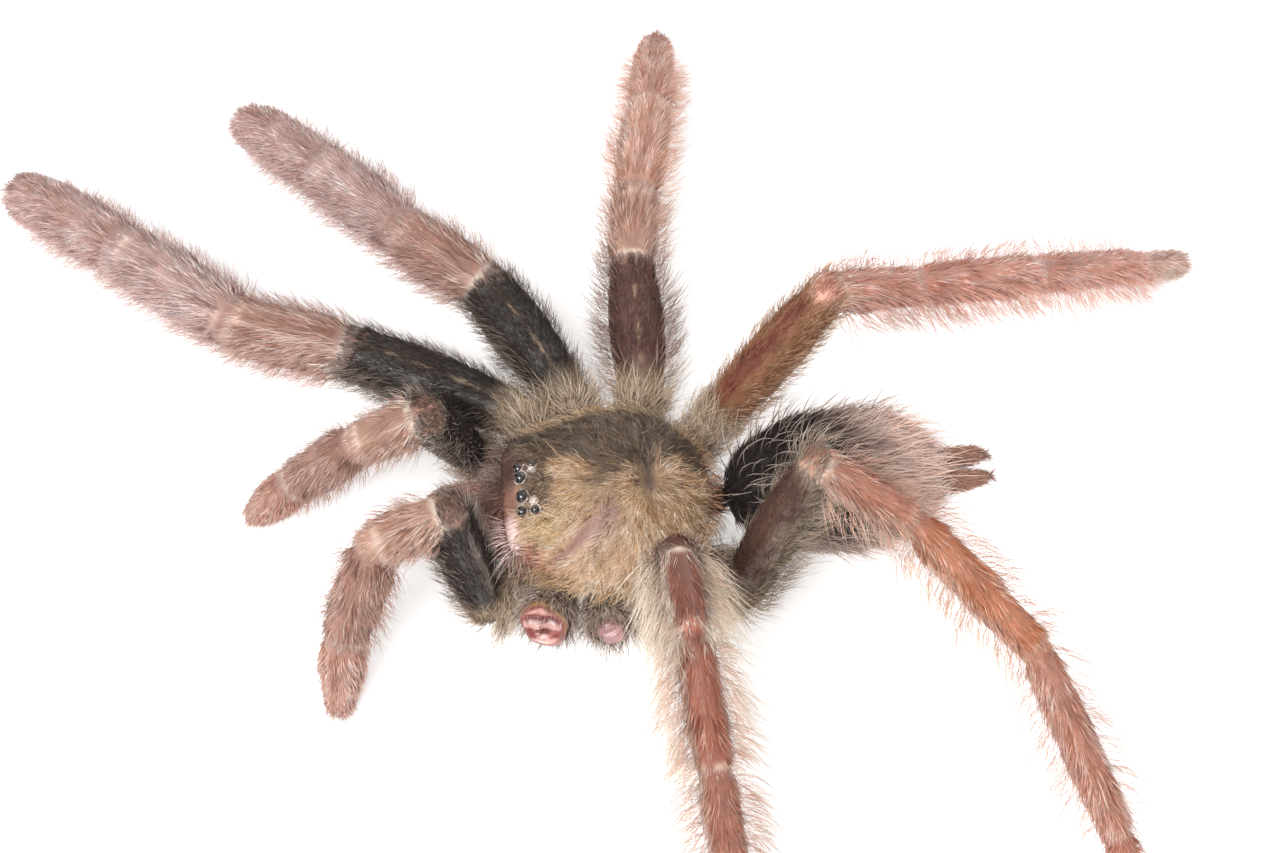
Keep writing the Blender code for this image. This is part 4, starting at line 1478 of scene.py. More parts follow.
@dataclass
class Shield:
    """The carapace: a low dome with a raised mound for the eyes, a pit and two grooves."""

    body: BodyFrame
    length: float = 21.8
    width: float = 20.0
    front_width: float = 17.4
    front_blunt: float = 0.42
    front_flat: float = 0.4
    crowded: float = math.radians(60.0)
    middle: float = -1.0
    top: float = 6.0
    floor: float = 0.1
    clypeus: float = 3.0
    rear_rim: float = 1.0
    side_rim: float = 0.6
    mound: tuple = (0.0, 7.8)
    mound_height: float = 1.5
    mound_reach: tuple = (2.9, 1.7)
    fovea: tuple = (0.0, -4.4)
    fovea_depth: float = 0.8
    coat: float = 0.22

    def from_front(self, turn: Array) -> Array:
        """Return the angle from the front, changed so that even steps of the turn crowd over the blunt front.

        Args:
            turn: even steps round the edge.

        Returns:
            The angles.
        """
        angle = np.arctan2(np.sin(turn), np.cos(turn))
        eased = np.sign(angle) * self.crowded * (np.abs(angle) / self.crowded) ** 2.0
        return np.where(np.abs(angle) > self.crowded, angle, eased)

    def outline(self, turn: Array) -> tuple[Array, Array, Array]:
        """Return left, forward and the rim's height on the edge; a turn of 0 is the front.

        Args:
            turn: the way round the edge.

        Returns:
            Three arrays.
        """
        angle = self.from_front(turn)
        ahead = np.cos(angle)
        narrow = smooth(ahead, -0.1, 1.0)
        half_width = lerp(self.width, self.front_width, narrow) / 2.0
        blunt = np.sign(np.sin(angle)) * np.abs(np.sin(angle)) ** lerp(1.0, self.front_blunt, narrow)
        half_length = self.length / 2.0
        forward = self.middle + np.where(ahead > 0, half_length - self.middle, half_length + self.middle) * ahead
        forward = forward - self.front_flat * maximum(0.0, ahead) ** 8.0
        rim = lerp(self.side_rim, self.clypeus, smooth(ahead, 0.5, 1.0))
        rim = lerp(rim, self.rear_rim, smooth(-ahead, 0.5, 1.0))
        return half_width * blunt, forward, rim

    def surface(self, angle: Array, share: Array) -> Array:
        """Return the skin's body coordinates; share is 0 in the shield's middle and 1 at its rim.

        Args:
            angle: the way round.
            share: how far out.

        Returns:
            Rows of left, forward and up.
        """
        left, forward, rim = self.outline(angle)
        dome = maximum(1.0 - share**2.3, 0.0) ** 0.85
        height = lerp(rim, self.top, dome)
        left = left * share
        forward = lerp(self.middle, forward, share)
        mound = hypot((left - self.mound[0]) / self.mound_reach[0], (forward - self.mound[1]) / self.mound_reach[1])
        pit = hypot((left - self.fovea[0]) / 2.2, (forward - self.fovea[1]) / 1.1)
        height = height + self.mound_height * exp(-(mound**4.0)) - self.fovea_depth * exp(-(pit**2.0))
        front = np.abs(np.degrees(self.from_front(angle)))
        height = height - 0.45 * bump(front, 62.0, 9.0) * np.sin(math.pi * share) ** 2.0
        return stack([left, forward, height - self.coat], -1)

    def height_at(self, left: float, forward: float) -> float:
        """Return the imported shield's height above a point near its front.

        Args:
            left: how far to the left.
            forward: how far forward.

        Returns:
            The height over the rim.
        """
        turns = linspace(0.0, math.pi / 2.0, 2000)
        edge_left, edge_forward, _ = self.outline(turns)
        ways = np.arctan2(edge_left, edge_forward - self.middle)
        turn = interp(math.atan2(left, forward - self.middle), ways, turns)
        share = (forward - self.middle) / (interp(turn, turns, edge_forward) - self.middle)
        return float(self.surface(array(turn), array(share))[2]) + self.coat

    def area(self) -> float:
        """Return about the dome's area, in square millimetres."""
        return math.pi / 4.0 * self.length * self.width * 1.2

    def scatter(self, count: int, source: Random) -> tuple[Array, Array]:
        """Return shares outwards and angles round, spread evenly over the shield.

        Args:
            count: how many places.
            source: the source of random numbers.

        Returns:
            The shares and the angles.
        """
        turns = linspace(0.0, math.tau, 721)
        left, forward, _ = self.outline(turns)
        swept = np.abs((left[1:] + left[:-1]) * diff(forward) - (forward[1:] + forward[:-1] + 2.0) * diff(left))
        total = concatenate([[0.0], cumsum(swept)])
        return np.sqrt(source.random(count)) * 0.995, interp(source.random(count) * total[-1], total, turns)

    def spots(self, share: Array, angle: Array) -> Spots:
        """Return the places on the shield, with the way along streaming out from the pit.

        Args:
            share: how far out each place is.
            angle: its way round.

        Returns:
            The places.
        """
        here = self.surface(angle, share)
        small = 0.01
        outwards = self.surface(angle, minimum(share + small, 0.999)) - here
        around = self.surface(angle + small, maximum(share, 0.02)) - self.surface(angle, maximum(share, 0.02))
        out = unit(cross(outwards, around))
        out *= np.sign(out[:, 2:])
        away = here - array([self.fovea[0], self.fovea[1], 0.0])
        away[:, 2] = 0.0
        away = unit(away - out * np.sum(away * out, axis=1, keepdims=True))
        turn = 90.0 * smooth(share, 0.86, 1.0)
        world_out, world_away = self.body.turn(out), self.body.turn(away)
        aside = unit(cross(world_out, world_away))
        return Spots(self.body.place(here), world_out, world_away, aside, share, angle, turn, here)

    def band(self, left: Array, forward: Array) -> Array:
        """Return how much each place belongs to the mauve band that runs from the pit to the front corner.

        Args:
            left: how far to the left each place is.
            forward: how far forward.

        Returns:
            Shares of the band.
        """
        width = lerp(0.75, 2.1, smooth(forward, 5.0, 0.0))
        ends = smooth(forward, -2.4, -0.6) * smooth(forward, 6.6, 5.4)
        return bump((left - 2.4 - 0.62 * (forward + 1.5)) / width, 0.0, 1.0) * ends

    def corner(self, left: Array, forward: Array) -> Array:
        """Return how much each place belongs to the bare red front corner."""
        return exp(-(((left - 6.4) / 2.0) ** 2.0) - ((forward - 8.0) / 1.8) ** 2.0)

    def lip_highlight(self, spots: Spots) -> Array:
        """Return how much each place takes the painted highlight on the glossy front edge, on its left part only."""
        left, forward = spots.body[:, 0], spots.body[:, 1]
        return smooth(forward, 8.5, 9.3) * smooth(np.abs(left - 4.1), 2.6, 1.0) * smooth(spots.share, 0.84, 0.9)

    def shade(self, left: Array, forward: Array) -> Array:
        """Return how much each place belongs to the far half darkened as painted shade, the side turned from the
        light, with ragged streaks along its edge.

        Args:
            left: how far to the left each place is.
            forward: how far forward.

        Returns:
            Shares of the painted shade.
        """
        bearing = np.arctan2(left - self.fovea[0], forward - self.fovea[1])
        streak = drift(bearing * 7.0, hypot(left - self.fovea[0], forward - self.fovea[1]) * 0.5, 9)
        edge = 0.8 + 1.2 * bump(forward, 3.6, 1.5) - 0.3 * smooth(forward, 5.0, 6.5)
        return smooth(-left - edge + 0.9 * streak, -0.5, 1.3)

    def paint(self, spots: Spots) -> Array:
        """Return the shield's markings.

        Args:
            spots: the places.

        Returns:
            Their colours.
        """
        left, forward = spots.body[:, 0], spots.body[:, 1]
        share = spots.share
        wander = drift(left / 1.1, forward / 1.1, 3)
        olive = smooth(hypot(left - 0.6, forward + 0.4) + 1.0 * wander, 6.2, 2.6)
        golden = smooth(forward, 0.0, -6.0) * smooth(left, 1.0, 3.5)
        gold = exp(-(((left - 4.3) / 2.0) ** 2.0) - ((forward - 6.6) / 2.3) ** 2.0)
        stream = bump(left - 1.3 - 0.9 * (forward - 3.0), 0.0, 1.3) * smooth(forward, 1.6, 4.4)
        # the far half turned from the light, the hollow behind the eye mound and the far front are darkened: painted
        # shade
        dark = self.shade(left, forward) * smooth(share + 0.03 * wander, 1.0, 0.9)
        valley_shade = exp(-(((left + 0.7) / 0.9) ** 2.0) - ((forward - 5.4) / 0.7) ** 2.0)
        # the pit is darkened with #42241A: painted shade in its hollow
        pit = exp(-(((left - 0.2) / 1.4) ** 2.0) - ((forward + 4.2) / 1.0) ** 2.0)
        mound = exp(-((left / 2.5) ** 4.0) - ((forward - 7.3) / 2.0) ** 4.0)
        front = smooth(forward, 8.6, 9.2)
        return layered(
            len(left), "#E4BB95", ("#C09A72", 0.85 * olive), ("#E3B98B", 0.6 * golden),
            ("#E0BC88", clip(1.3 * gold + 0.5 * stream + 0.1 * wander, 0.0, 1.0)),
            ("#825C53", 0.97 * self.band(left, forward)),
            # 4A382B, #4B3528 and #43302A below are painted shade on the far side
            ("#8C503E", clip(1.1 * self.corner(left, forward), 0.0, 0.92)), ("#4A382B", 0.9 * dark),
            ("#4B3528", 0.8 * valley_shade), ("#42241A", 0.9 * pit), ("#B0604C", 0.7 * smooth(forward, -9.2, -10.4)),
            ("#3E2A21", 0.85 * mound), ("#87544A", 0.85 * front),
            # F6D8D2 on the near part of the front edge is a painted highlight
            ("#43302A", 0.85 * front * smooth(-left, -0.6, 1.6)), ("#F6D8D2", 0.95 * self.lip_highlight(spots)),
        )

    def bare(self, spots: Spots) -> Array:
        """Return the chance of hair: none on the eyes' mound, little on the band, the corner and the front edge.

        Args:
            spots: the places.

        Returns:
            The chances.
        """
        left, forward = spots.body[:, 0], spots.body[:, 1]
        mound = exp(-((left / 3.0) ** 4.0) - ((forward - 7.9) / 1.2) ** 4.0)
        ahead = smooth(forward, 8.4, 9.0) * smooth(np.abs(left), 6.5, 4.5)
        rear = smooth(forward, -9.2, -10.2)
        chance = (1.0 - mound) * (1.0 - 0.93 * self.band(left, forward)) * (1.0 - ahead)
        chance = chance * (1.0 - 0.3 * self.shade(left, forward))
        corner = clip(1.2 * self.corner(left, forward), 0.0, 0.75)
        return chance * (1.0 - corner) * (1.0 - 0.7 * rear)

    def shell(self) -> Array:
        """Return the closed skin of the shield as rings, from its underside over the rim to the top.

        Returns:
            Rings by points by x, y and z.
        """
        angle = linspace(0.0, math.tau, 120, endpoint=False)
        left, forward, rim = self.outline(angle)
        rings = []
        for share, lift in ((0.05, 0.0), (0.4, 0.0), (0.86, 0.3), (0.985, 0.72)):
            height = lerp(self.floor, rim - self.coat, lift)
            rings.append(stack([left * share, lerp(self.middle, forward, share), height], -1))
        for share in linspace(0.985, 0.0, 34) ** 0.9:
            rings.append(self.surface(angle, full_like(angle, min(share, 0.985))))
        return self.body.place(array(rings))


@dataclass
class Trunk:
    """The breastplate, jaws, abdomen, spinnerets and stumps, as forms with a middle line."""

    body: BodyFrame
    jaw_middle: float = 2.0
    abdomen_front: float = -11.9
    abdomen_rear: float = -34.4
    abdomen_width: float = 15.0
    abdomen_height: float = 13.2
    abdomen_coat: float = 0.7
    stump_back_set: tuple = (0.4, 1.6)
    stump_radii: tuple = (2.5, 2.3)

    def path(self, sections: list[tuple], steps: int = 30) -> Tube:
        """Make a tube through sections of (left, forward, up, half width, half height).

        Args:
            sections: the rows.
            steps: how many sections the tube gets.

        Returns:
            The tube.
        """
        table = array(sections, float)
        reach = concatenate([[0.0], cumsum(np.linalg.norm(diff(table[:, :3], axis=0), axis=1))])
        wanted = linspace(0.0, reach[-1], steps)
        rows = stack([interp(wanted, reach, table[:, column]) for column in range(5)], -1)
        across = self.body.turn(array([1.0, 0.0, 0.0]))
        return Tube.through(self.body.place(rows[:, :3]), across, rows[:, 3], rows[:, 4])

    def jaw(self, side: Side) -> Tube:
        """Return one chelicera.

        Args:
            side: which one.

        Returns:
            The tube.
        """
        left = side.value * self.jaw_middle
        sections = (
            (7.6, -2.4, 1.2, 1.5), (9.3, -2.2, 1.5, 1.9), (10.6, -1.8, 1.75, 2.6), (12.2, -1.4, 1.82, 3.2),
            (14.0, -1.4, 1.82, 3.3), (15.6, -1.8, 1.75, 2.9), (16.7, -2.6, 1.5, 2.1), (17.2, -3.2, 0.8, 1.1),
            (17.3, -3.3, 0.1, 0.15),
        )
        thin = [(left, ahead, up, max(0.1, wide - 0.15), max(0.1, tall - 0.2)) for ahead, up, wide, tall in sections]
        return self.path(thin)

    def abdomen(self) -> Tube:
        """Return the abdomen, an egg that starts in the narrow waist.

        Returns:
            The tube.
        """
        sections = [(0.0, -7.6, -1.7, 1.0, 1.0), (0.0, self.abdomen_front + 0.6, -1.4, 1.1, 1.1)]
        for share in linspace(0.04, 0.995, 26):
            eased = 0.5 - 0.5 * math.cos(math.pi * share)
            forward = lerp(self.abdomen_front, self.abdomen_rear, eased)
            offset = abs(2.0 * eased**1.05 - 1.0)
            size = max(0.0, 1.0 - min(1.0, offset) ** 2.2) ** 0.55
            up = float(lerp(-0.6, 0.6, smooth(share, 0.0, 0.45)))
            wide = max(0.15, self.abdomen_width / 2.0 * size - self.abdomen_coat)
            tall = max(0.15, self.abdomen_height / 2.0 * size - self.abdomen_coat)
            sections.append((0.0, forward, up, wide, tall))
        return self.path(sections, 60)

    def spinneret(self, side: Side) -> Tube:
        """Return one of the long spinnerets.

        Args:
            side: which one.

        Returns:
            The tube.
        """
        radii = (0.9, 0.95, 1.0, 0.85, 0.5, 0.1)
        stops = (-2.0, 0.0, 0.33, 0.66, 0.97, 1.0)
        sections = []
        for radius, share in zip(radii, stops):
            forward = self.abdomen_rear - (4.4 * share if share > 0 else -share)
            sections.append((side.value * 1.28, forward, 0.7 + 0.5 * max(0.0, share), radius, radius))
        return self.path(sections, 16)

    def breastplate(self) -> Array:
        """Return the trunk's underside as level rings.

        Returns:
            Rings by points by x, y and z.
        """
        sections = (
            (1.2, 4.0, -4.0, -6.5), (2.2, 5.5, -5.1, -6.4), (2.8, 6.7, -6.4, -5.9), (2.9, 7.1, -6.6, -3.6),
            (5.4, 7.8, -7.4, -2.1), (8.0, 8.4, -8.0, -0.7), (8.1, 8.5, -8.1, 1.2), (5.0, 5.0, -5.0, 1.4),
        )
        angle = linspace(0.0, math.tau, 64, endpoint=False)
        rings = []
        for half_width, front, rear, up in sections:
            forward = (front + rear) / 2.0 + (front - rear) / 2.0 * np.cos(angle)
            rings.append(stack([half_width * np.sin(angle), forward, full_like(angle, up)], -1))
        return self.body.place(array(rings))

    def plate_tube(self) -> Tube:
        """Return the breastplate again as a tube along the body, to grow hair on."""
        return self.path([(0.0, 7.0, -4.4, 1.6, 1.8), (0.0, 3.0, -4.3, 2.9, 2.1), (0.0, -6.4, -4.3, 2.2, 2.1)])

    def stump(self, number: int, build: Build) -> Tube:
        """Return the healed coxa of a missing leg.

        Args:
            number: 0 for the first leg's, 1 for the second's.
            build: the sizes of that pair of legs.

        Returns:
            The tube.
        """
        left, forward, up = build.hip
        root = self.body.place(array(build.coxa_root))
        tip = self.body.place(array([left, forward - self.stump_back_set[number], up]))
        way = unit(tip - root)
        length = float(np.linalg.norm(tip - root))
        radius = self.stump_radii[number]
        stops = array([-0.25, 0.0, 0.3, 0.62, 0.85, 0.94, 0.985, 1.0])
        sizes = array([1.0, 1.1, 1.4, build.coxa_width, radius, radius, 0.8 * radius, 0.1]) * 0.9
        share = linspace(-0.25, 1.0, 30)
        across = array([-way[1], way[0], 0.0])
        return Tube.straight(root, way, -across, Side.LEFT, share * length, interp(share, stops, sizes))


class BodyPaint:
    """The markings of the trunk's other forms."""

    @staticmethod
    def abdomen(spots: Spots) -> Array:
        """Paint black velvet in front on the back, pinkish brown behind and tan on the sides.

        Args:
            spots: the places.

        Returns:
            Their colours.
        """
        wander = drift(spots.point[:, 0] / 2.2, spots.point[:, 1] / 2.2, 5)
        rear = smooth(spots.share + 0.05 * wander, 0.6, 0.78)
        top = smooth(spots.turn + 10.0 * wander, 92.0, 62.0)
        brown = 0.9 * top * smooth(spots.share + 0.05 * wander, 0.8, 0.62)
        black = smooth(spots.share + 0.04 * wander, 0.65, 0.5) * top
        return layered(len(rear), "#B4998A", ("#F6CBBA", rear), ("#5E413A", brown), ("#231817", 0.96 * black))

    @staticmethod
    def jaw(spots: Spots) -> Array:
        """Paint dark red-brown, paler along the top."""
        return layered(len(spots.share), "#BE9184", ("#C0958A", 0.5 * bump(spots.turn, 0.0, 40.0)))

    @staticmethod
    def spinneret(spots: Spots) -> Array:
        """Paint tan, with a brown end."""
        return layered(len(spots.share), "#BE8C76", ("#8A5A48", 0.6 * smooth(spots.share, 0.8, 0.95)))

    @staticmethod
    def under(spots: Spots) -> Array:
        """Paint plain dark brown."""
        return layered(len(spots.share), "#5E463C")

    @staticmethod
    def stump(spots: Spots) -> Array:
        """Paint grey-tan."""
        return layered(len(spots.share), "#9C8474")


# ---- skin


@dataclass
class Skin:
    """One closed skin over every form, without a seam."""

    grain: float = 0.36
    smoothing: int = 4
    points: list[Array] = field(default_factory=list)
    faces: list[Array] = field(default_factory=list)
    count: int = 0
    marks: list[tuple[Array, Array]] = field(default_factory=list)

    def add_rings(self, rings: Array) -> None:
        """Add a closed form through rings of points, with a point in the middle of each end.

        Args:
            rings: rings by points by x, y and z.
        """
        rows, columns, _ = rings.shape
        rings = rings.copy()
        rings[..., 2] = maximum(rings[..., 2], SKIN_CLEARANCE)
        ends = rings[[0, -1]].mean(axis=1)
        points = concatenate([rings.reshape(-1, 3), ends])
        row, column = meshgrid(arange(rows - 1), arange(columns), indexing="ij")
        after = (column + 1) % columns
        low, high = row * columns, (row + 1) * columns
        quads = stack([low + column, low + after, high + after, high + column], -1).reshape(-1, 4)
        faces = concatenate([quads[:, [0, 1, 2]], quads[:, [0, 2, 3]]])
        ring = arange(columns)
        turned = (ring + 1) % columns
        first = stack([np.full(columns, rows * columns), turned, ring], -1)
        top = (rows - 1) * columns
        last = stack([np.full(columns, rows * columns + 1), top + ring, top + turned], -1)
        self.points.append(points)
        self.faces.append(concatenate([faces, first, last]) + self.count)
        self.count += len(points)

    def mark(
        self, form: Form, paint: SpotRule, shade: float, along: int = 60, around: int = 36,
        hair: SpotRule | None = None,
    ) -> None:
        """Note the markings of a form, which the skin takes from the nearest one.

        Args:
            form: the tube or shield.
            paint: gives the marking's colour for spots.
            shade: how much of its light the hide keeps under the hair.
            along: how many places along the form.
            around: how many places round it.
            hair: gives the share of hair for spots, or None where it is dense all over.
        """
        share, angle = meshgrid(
            linspace(0.0, 1.0, along), linspace(0.0, math.tau, around, endpoint=False), indexing="ij"
        )
        spots = form.spots(share.ravel(), angle.ravel())
        thick = ones_like(spots.turn) if hair is None else hair(spots)
        # the hide is darkened where the hair is thick: painted shade under the coat
        self.marks.append((spots.point, paint(spots) * lerp(1.0, shade, thick)[:, None]))

    def raw(self, name: str, material: Material) -> Object:
        """Return an object of all the closed forms as they are."""
        return mesh_object(name, concatenate(self.points), concatenate(self.faces), material)

    def build(self, material: Material) -> Object:
        """Melt the forms into one skin and colour it.

        Args:
            material: the skin's material.

        Returns:
            The skin.
        """
        rough = self.raw("skin_forms", material)
        melt = rough.modifiers.new("melt", "REMESH")
        melt.mode = "VOXEL"
        melt.voxel_size = self.grain * MM
        soften = rough.modifiers.new("soften", "SMOOTH")
        soften.factor = 0.5
        soften.iterations = self.smoothing
        graph = bpy.context.evaluated_depsgraph_get()
        mesh = bpy.data.meshes.new_from_object(rough.evaluated_get(graph))
        mesh.name = "skin"
        mesh.materials.clear()
        mesh.materials.append(material)
        bpy.data.objects.remove(rough)
        skin = bpy.data.objects.new("skin", mesh)
        bpy.context.scene.collection.objects.link(skin)
        mesh.shade_smooth()
        self.colour(mesh)
        return skin

    def colour(self, mesh: Mesh) -> None:
        """Give every point of the skin the marking of the nearest noted places.

        Args:
            mesh: the skin.
        """
        places, colours = (concatenate(rows) for rows in zip(*self.marks))
        tree = KDTree(len(places))
        for number, place in enumerate(places):
            tree.insert(place, number)
        tree.balance()
        points = (read_points(mesh, "position", 3).astype(float32)) / MM
        tints = np.empty_like(points)
        for row, point in enumerate(points):
            near = tree.find_n(Vector(point), 3)
            weight = array([1.0 / (distance + 0.05) for _, _, distance in near])
            tints[row] = (colours[[number for _, number, _ in near]] * weight[:, None]).sum(0) / weight.sum()
        paint_points(mesh, tints)


# ---- eyes, fangs, claws, membranes


# each eye's place to the left and forward, and its radius
EYES = {
    "eye_front_middle": (1.0, 8.35, 0.64), "eye_front_side": (2.3, 8.45, 0.58), "eye_rear_side": (2.4, 7.2, 0.46),
    "eye_rear_middle": (1.65, 7.25, 0.32),
}


@dataclass
class Head:
    """The eight eyes and the two fangs."""

    body: BodyFrame
    shield: Shield
    sunk: float = 0.2

    def ball(self, name: str, middle: Array, radius: float, material: Material) -> Object:
        """Make a smooth ball.

        Args:
            name: the piece's name.
            middle: its middle, in world millimetres.
            radius: its radius.
            material: its material.

        Returns:
            The ball.
        """
        turn = linspace(0.0, math.tau, 28, endpoint=False)
        rise = linspace(-1.52, 1.52, 17)
        ring = stack([np.cos(turn), np.sin(turn), zeros_like(turn)], -1)
        rings = ring[None] * np.cos(rise)[:, None, None] + array([0.0, 0.0, 1.0]) * np.sin(rise)[:, None, None]
        shape = Skin()
        shape.add_rings(middle + rings * radius)
        return shape.raw(name, material)

    def build_eyes(self, dark: Material, pearl: Material) -> None:
        """Make the eyes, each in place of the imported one.

        Args:
            dark: the material of the big eyes.
            pearl: the material of the small rear middle eyes.
        """
        for name, (left, forward, radius) in EYES.items():
            height = self.shield.height_at(left, forward) - self.sunk * radius
            for side in Side:
                middle = self.body.place(array([side.value * left, forward, height]))
                node = f"{name}_{side.name.lower()}"
                material = pearl if name == "eye_rear_middle" else dark
                hand_over(self.ball(f"lens_{node}", middle, radius, material), "eye_gloss", node)

    def build_rims(self, material: Material) -> None:
        """Make the thin pale rim of bare skin round each eye, as one piece.

        Args:
            material: the rims' material.
        """
        shape = Skin()
        turn = linspace(0.0, math.tau, 36, endpoint=False)
        section = linspace(0.0, math.tau, 11)
        step = 0.05
        for left, forward, radius in EYES.values():
            height = self.shield.height_at(left, forward)
            slope_left = (self.shield.height_at(left + step, forward) - height) / step
            slope_forward = (self.shield.height_at(left, forward + step) - height) / step
            for side in Side:
                normal = unit(array([-side.value * slope_left, -slope_forward, 1.0]))
                first = unit(cross(normal, array([0.0, 1.0, 0.0])))
                second = cross(normal, first)
                middle = array([side.value * left, forward, height]) - normal * 0.12
                spoke = first * np.cos(turn)[:, None] + second * np.sin(turn)[:, None]
                thick = 0.13 + 0.03 * np.sin(3.0 * turn + left)[:, None]
                rings = []
                for angle in section:
                    reach = radius * 0.97 + 0.05 + thick * math.cos(angle)
                    rings.append(middle + spoke * reach + normal * thick * math.sin(angle) * 1.2)
                shape.add_rings(self.body.place(array(rings)))
        hand_over(shape.raw("eye_rims", material), "bare_membrane")

    def build_fangs(self, material: Material) -> None:
        """Make the two fangs, folded under the jaws.

        Args:
            material: the fangs' material.
        """
        trunk = Trunk(self.body)
        for side in Side:
            sections = []
            for share in linspace(0.0, 1.0, 26):
                turn = math.radians(lerp(-12.0, -150.0, share))
                radius = lerp(0.7, 0.12, share**1.3)
                place = (13.4 + 3.0 * math.cos(turn), -4.9 + 2.1 * math.sin(turn))
                sections.append((side.value * lerp(2.2, 1.7, share), *place, radius, radius))
            shape = Skin()
            shape.add_rings(trunk.path(sections, 40).rings(20))
            node = f"fang_{side.name.lower()}"
            piece = mesh_object(f"horn_{node}", shape.points[0], shape.faces[0][:, ::-1], material)
            hand_over(piece, "fang_gloss", node)


@dataclass
class Scar:
    """The healed end of a lost leg: a low oval dome of bare skin that is folded in rings."""

    name: str
    tube: Tube
    radius: float
    dome: float
    folds: float
    ochre: float
    skins: tuple
    tilt: float = 0.35
    raised: float = 0.5

    def build(self, material: Material) -> None:
        """Make the scar as one piece, with painted shade in its folds.

        Args:
            material: the scar's material.
        """
        turn = linspace(0.0, math.tau, 96, endpoint=False)[None, :]
        share = linspace(1.0, 0.0, 60)[:, None]
        aside, upward = share * np.cos(turn), share * np.sin(turn)
        slit = upward + 0.22 * np.sin(2.4 * aside + 0.7) + 0.3 * aside**2.0 - 0.12
        wave = np.cos(math.tau * self.folds * (slit + 0.05 * np.sin(9.0 * aside + 3.0 * slit)))
        flat = clip(1.0 - share**4.0, 0.0, 1.0)
        folded = min(1.0, self.folds)
        rim = 0.6 * bump(share, 0.82, 0.2) * (1.0 - share**12.0) * folded
        rise = self.dome * (rim + lerp(1.0, 0.4, folded) * (1.0 - share**2.0) ** 0.6)
        rise = rise * (1.0 - 0.5 * bump(slit, 0.2, 0.3)) + 0.09 * wave * flat * folded
        reach = self.radius * share * (1.0 + 0.07 * np.sin(2.0 * turn + 0.4) + 0.03 * np.sin(5.0 * turn + 1.0))
        last = np.searchsorted(self.tube.at, 0.95)
        normal, across, back = (vectors[last] for vectors in (self.tube.along, self.tube.across, self.tube.back))
        middle = self.tube.middle[last] + normal * self.raised
        normal = unit(normal + self.tilt * back)
        back = unit(cross(normal, across))
        back = back * np.sign(back[2])
        spoke = across * np.cos(turn)[..., None] + back * np.sin(turn)[..., None]
        top = middle + spoke * reach[..., None] + normal * rise[..., None]
        base = top[:1] * 0.2 + (middle - normal * 1.2) * 0.8
        shape = Skin()
        shape.add_rings(concatenate([base, top]))
        piece = shape.raw(self.name, material)
        # one row for every ring of the shape, with the base taking the first ring's marking
        rows = array([0, *range(len(share))])
        ridge, hollow, from_middle, around = (
            np.broadcast_to(values, wave.shape)[rows].ravel()
            for values in (wave, flat * bump(slit, 0.28, 0.26), share, np.sin(turn))
        )
        high, edge = (linear(skin) for skin in self.skins[1:])
        ochre = self.ochre * smooth(from_middle, 0.84, 0.95) * smooth(around, -0.4, 0.7)
        # lighter on the ridges and darker in the hollows, by the folds' heights: painted shade in the folds, over the
        # membrane's own dark red fold lines
        colours = layered(
            ridge.size, self.skins[0], (high, smooth(ridge, -0.5, 0.8)), ("#5E2A2A", folded * 0.9 * hollow),
            (edge, 0.8 * smooth(from_middle, 0.66, 0.82)), ("#A98058", ochre),
        )
        ends = np.tile(edge, (len(piece.data.vertices) - ridge.size, 1))
        paint_points(piece.data, concatenate([colours, ends]))
        hand_over(piece, "bare_membrane")


@dataclass
class Claws:
    """The paired claws at the tip of every limb."""

    limbs: list[Limb]

    def build(self, material: Material) -> None:
        """Make all claws as one piece.

        Args:
            material: the claws' material.
        """
        shape = Skin()
        reach = linspace(0.0, 1.0, 9)[:, None]
        turn = linspace(0.0, math.tau, 7, endpoint=False)[None, :, None]
        for limb in self.limbs:
            tube = limb.segments[-1].tube
            along, across, back = tube.along[-1], tube.across[-1], tube.back[-1]
            for sign in (-1.0, 1.0):
                start = tube.middle[-1] - along * 0.7 + across * sign * 0.4 + back * 0.25
                bend = 1.9 * reach
                middle = start + along * np.sin(bend) * 0.85 - back * (1.0 - np.cos(bend)) * 0.55
                radius = lerp(0.17, 0.03, reach)[..., None]
                ring = across * np.cos(turn) + back * np.sin(turn)
                shape.add_rings(middle[:, None, :] + ring * radius)
        points = concatenate(shape.points)
        points[:, 2] = maximum(points[:, 2], CLAW_CLEARANCE)
        hand_over(mesh_object("claws", points, concatenate(shape.faces), material), "fang_gloss")


# ---- studio


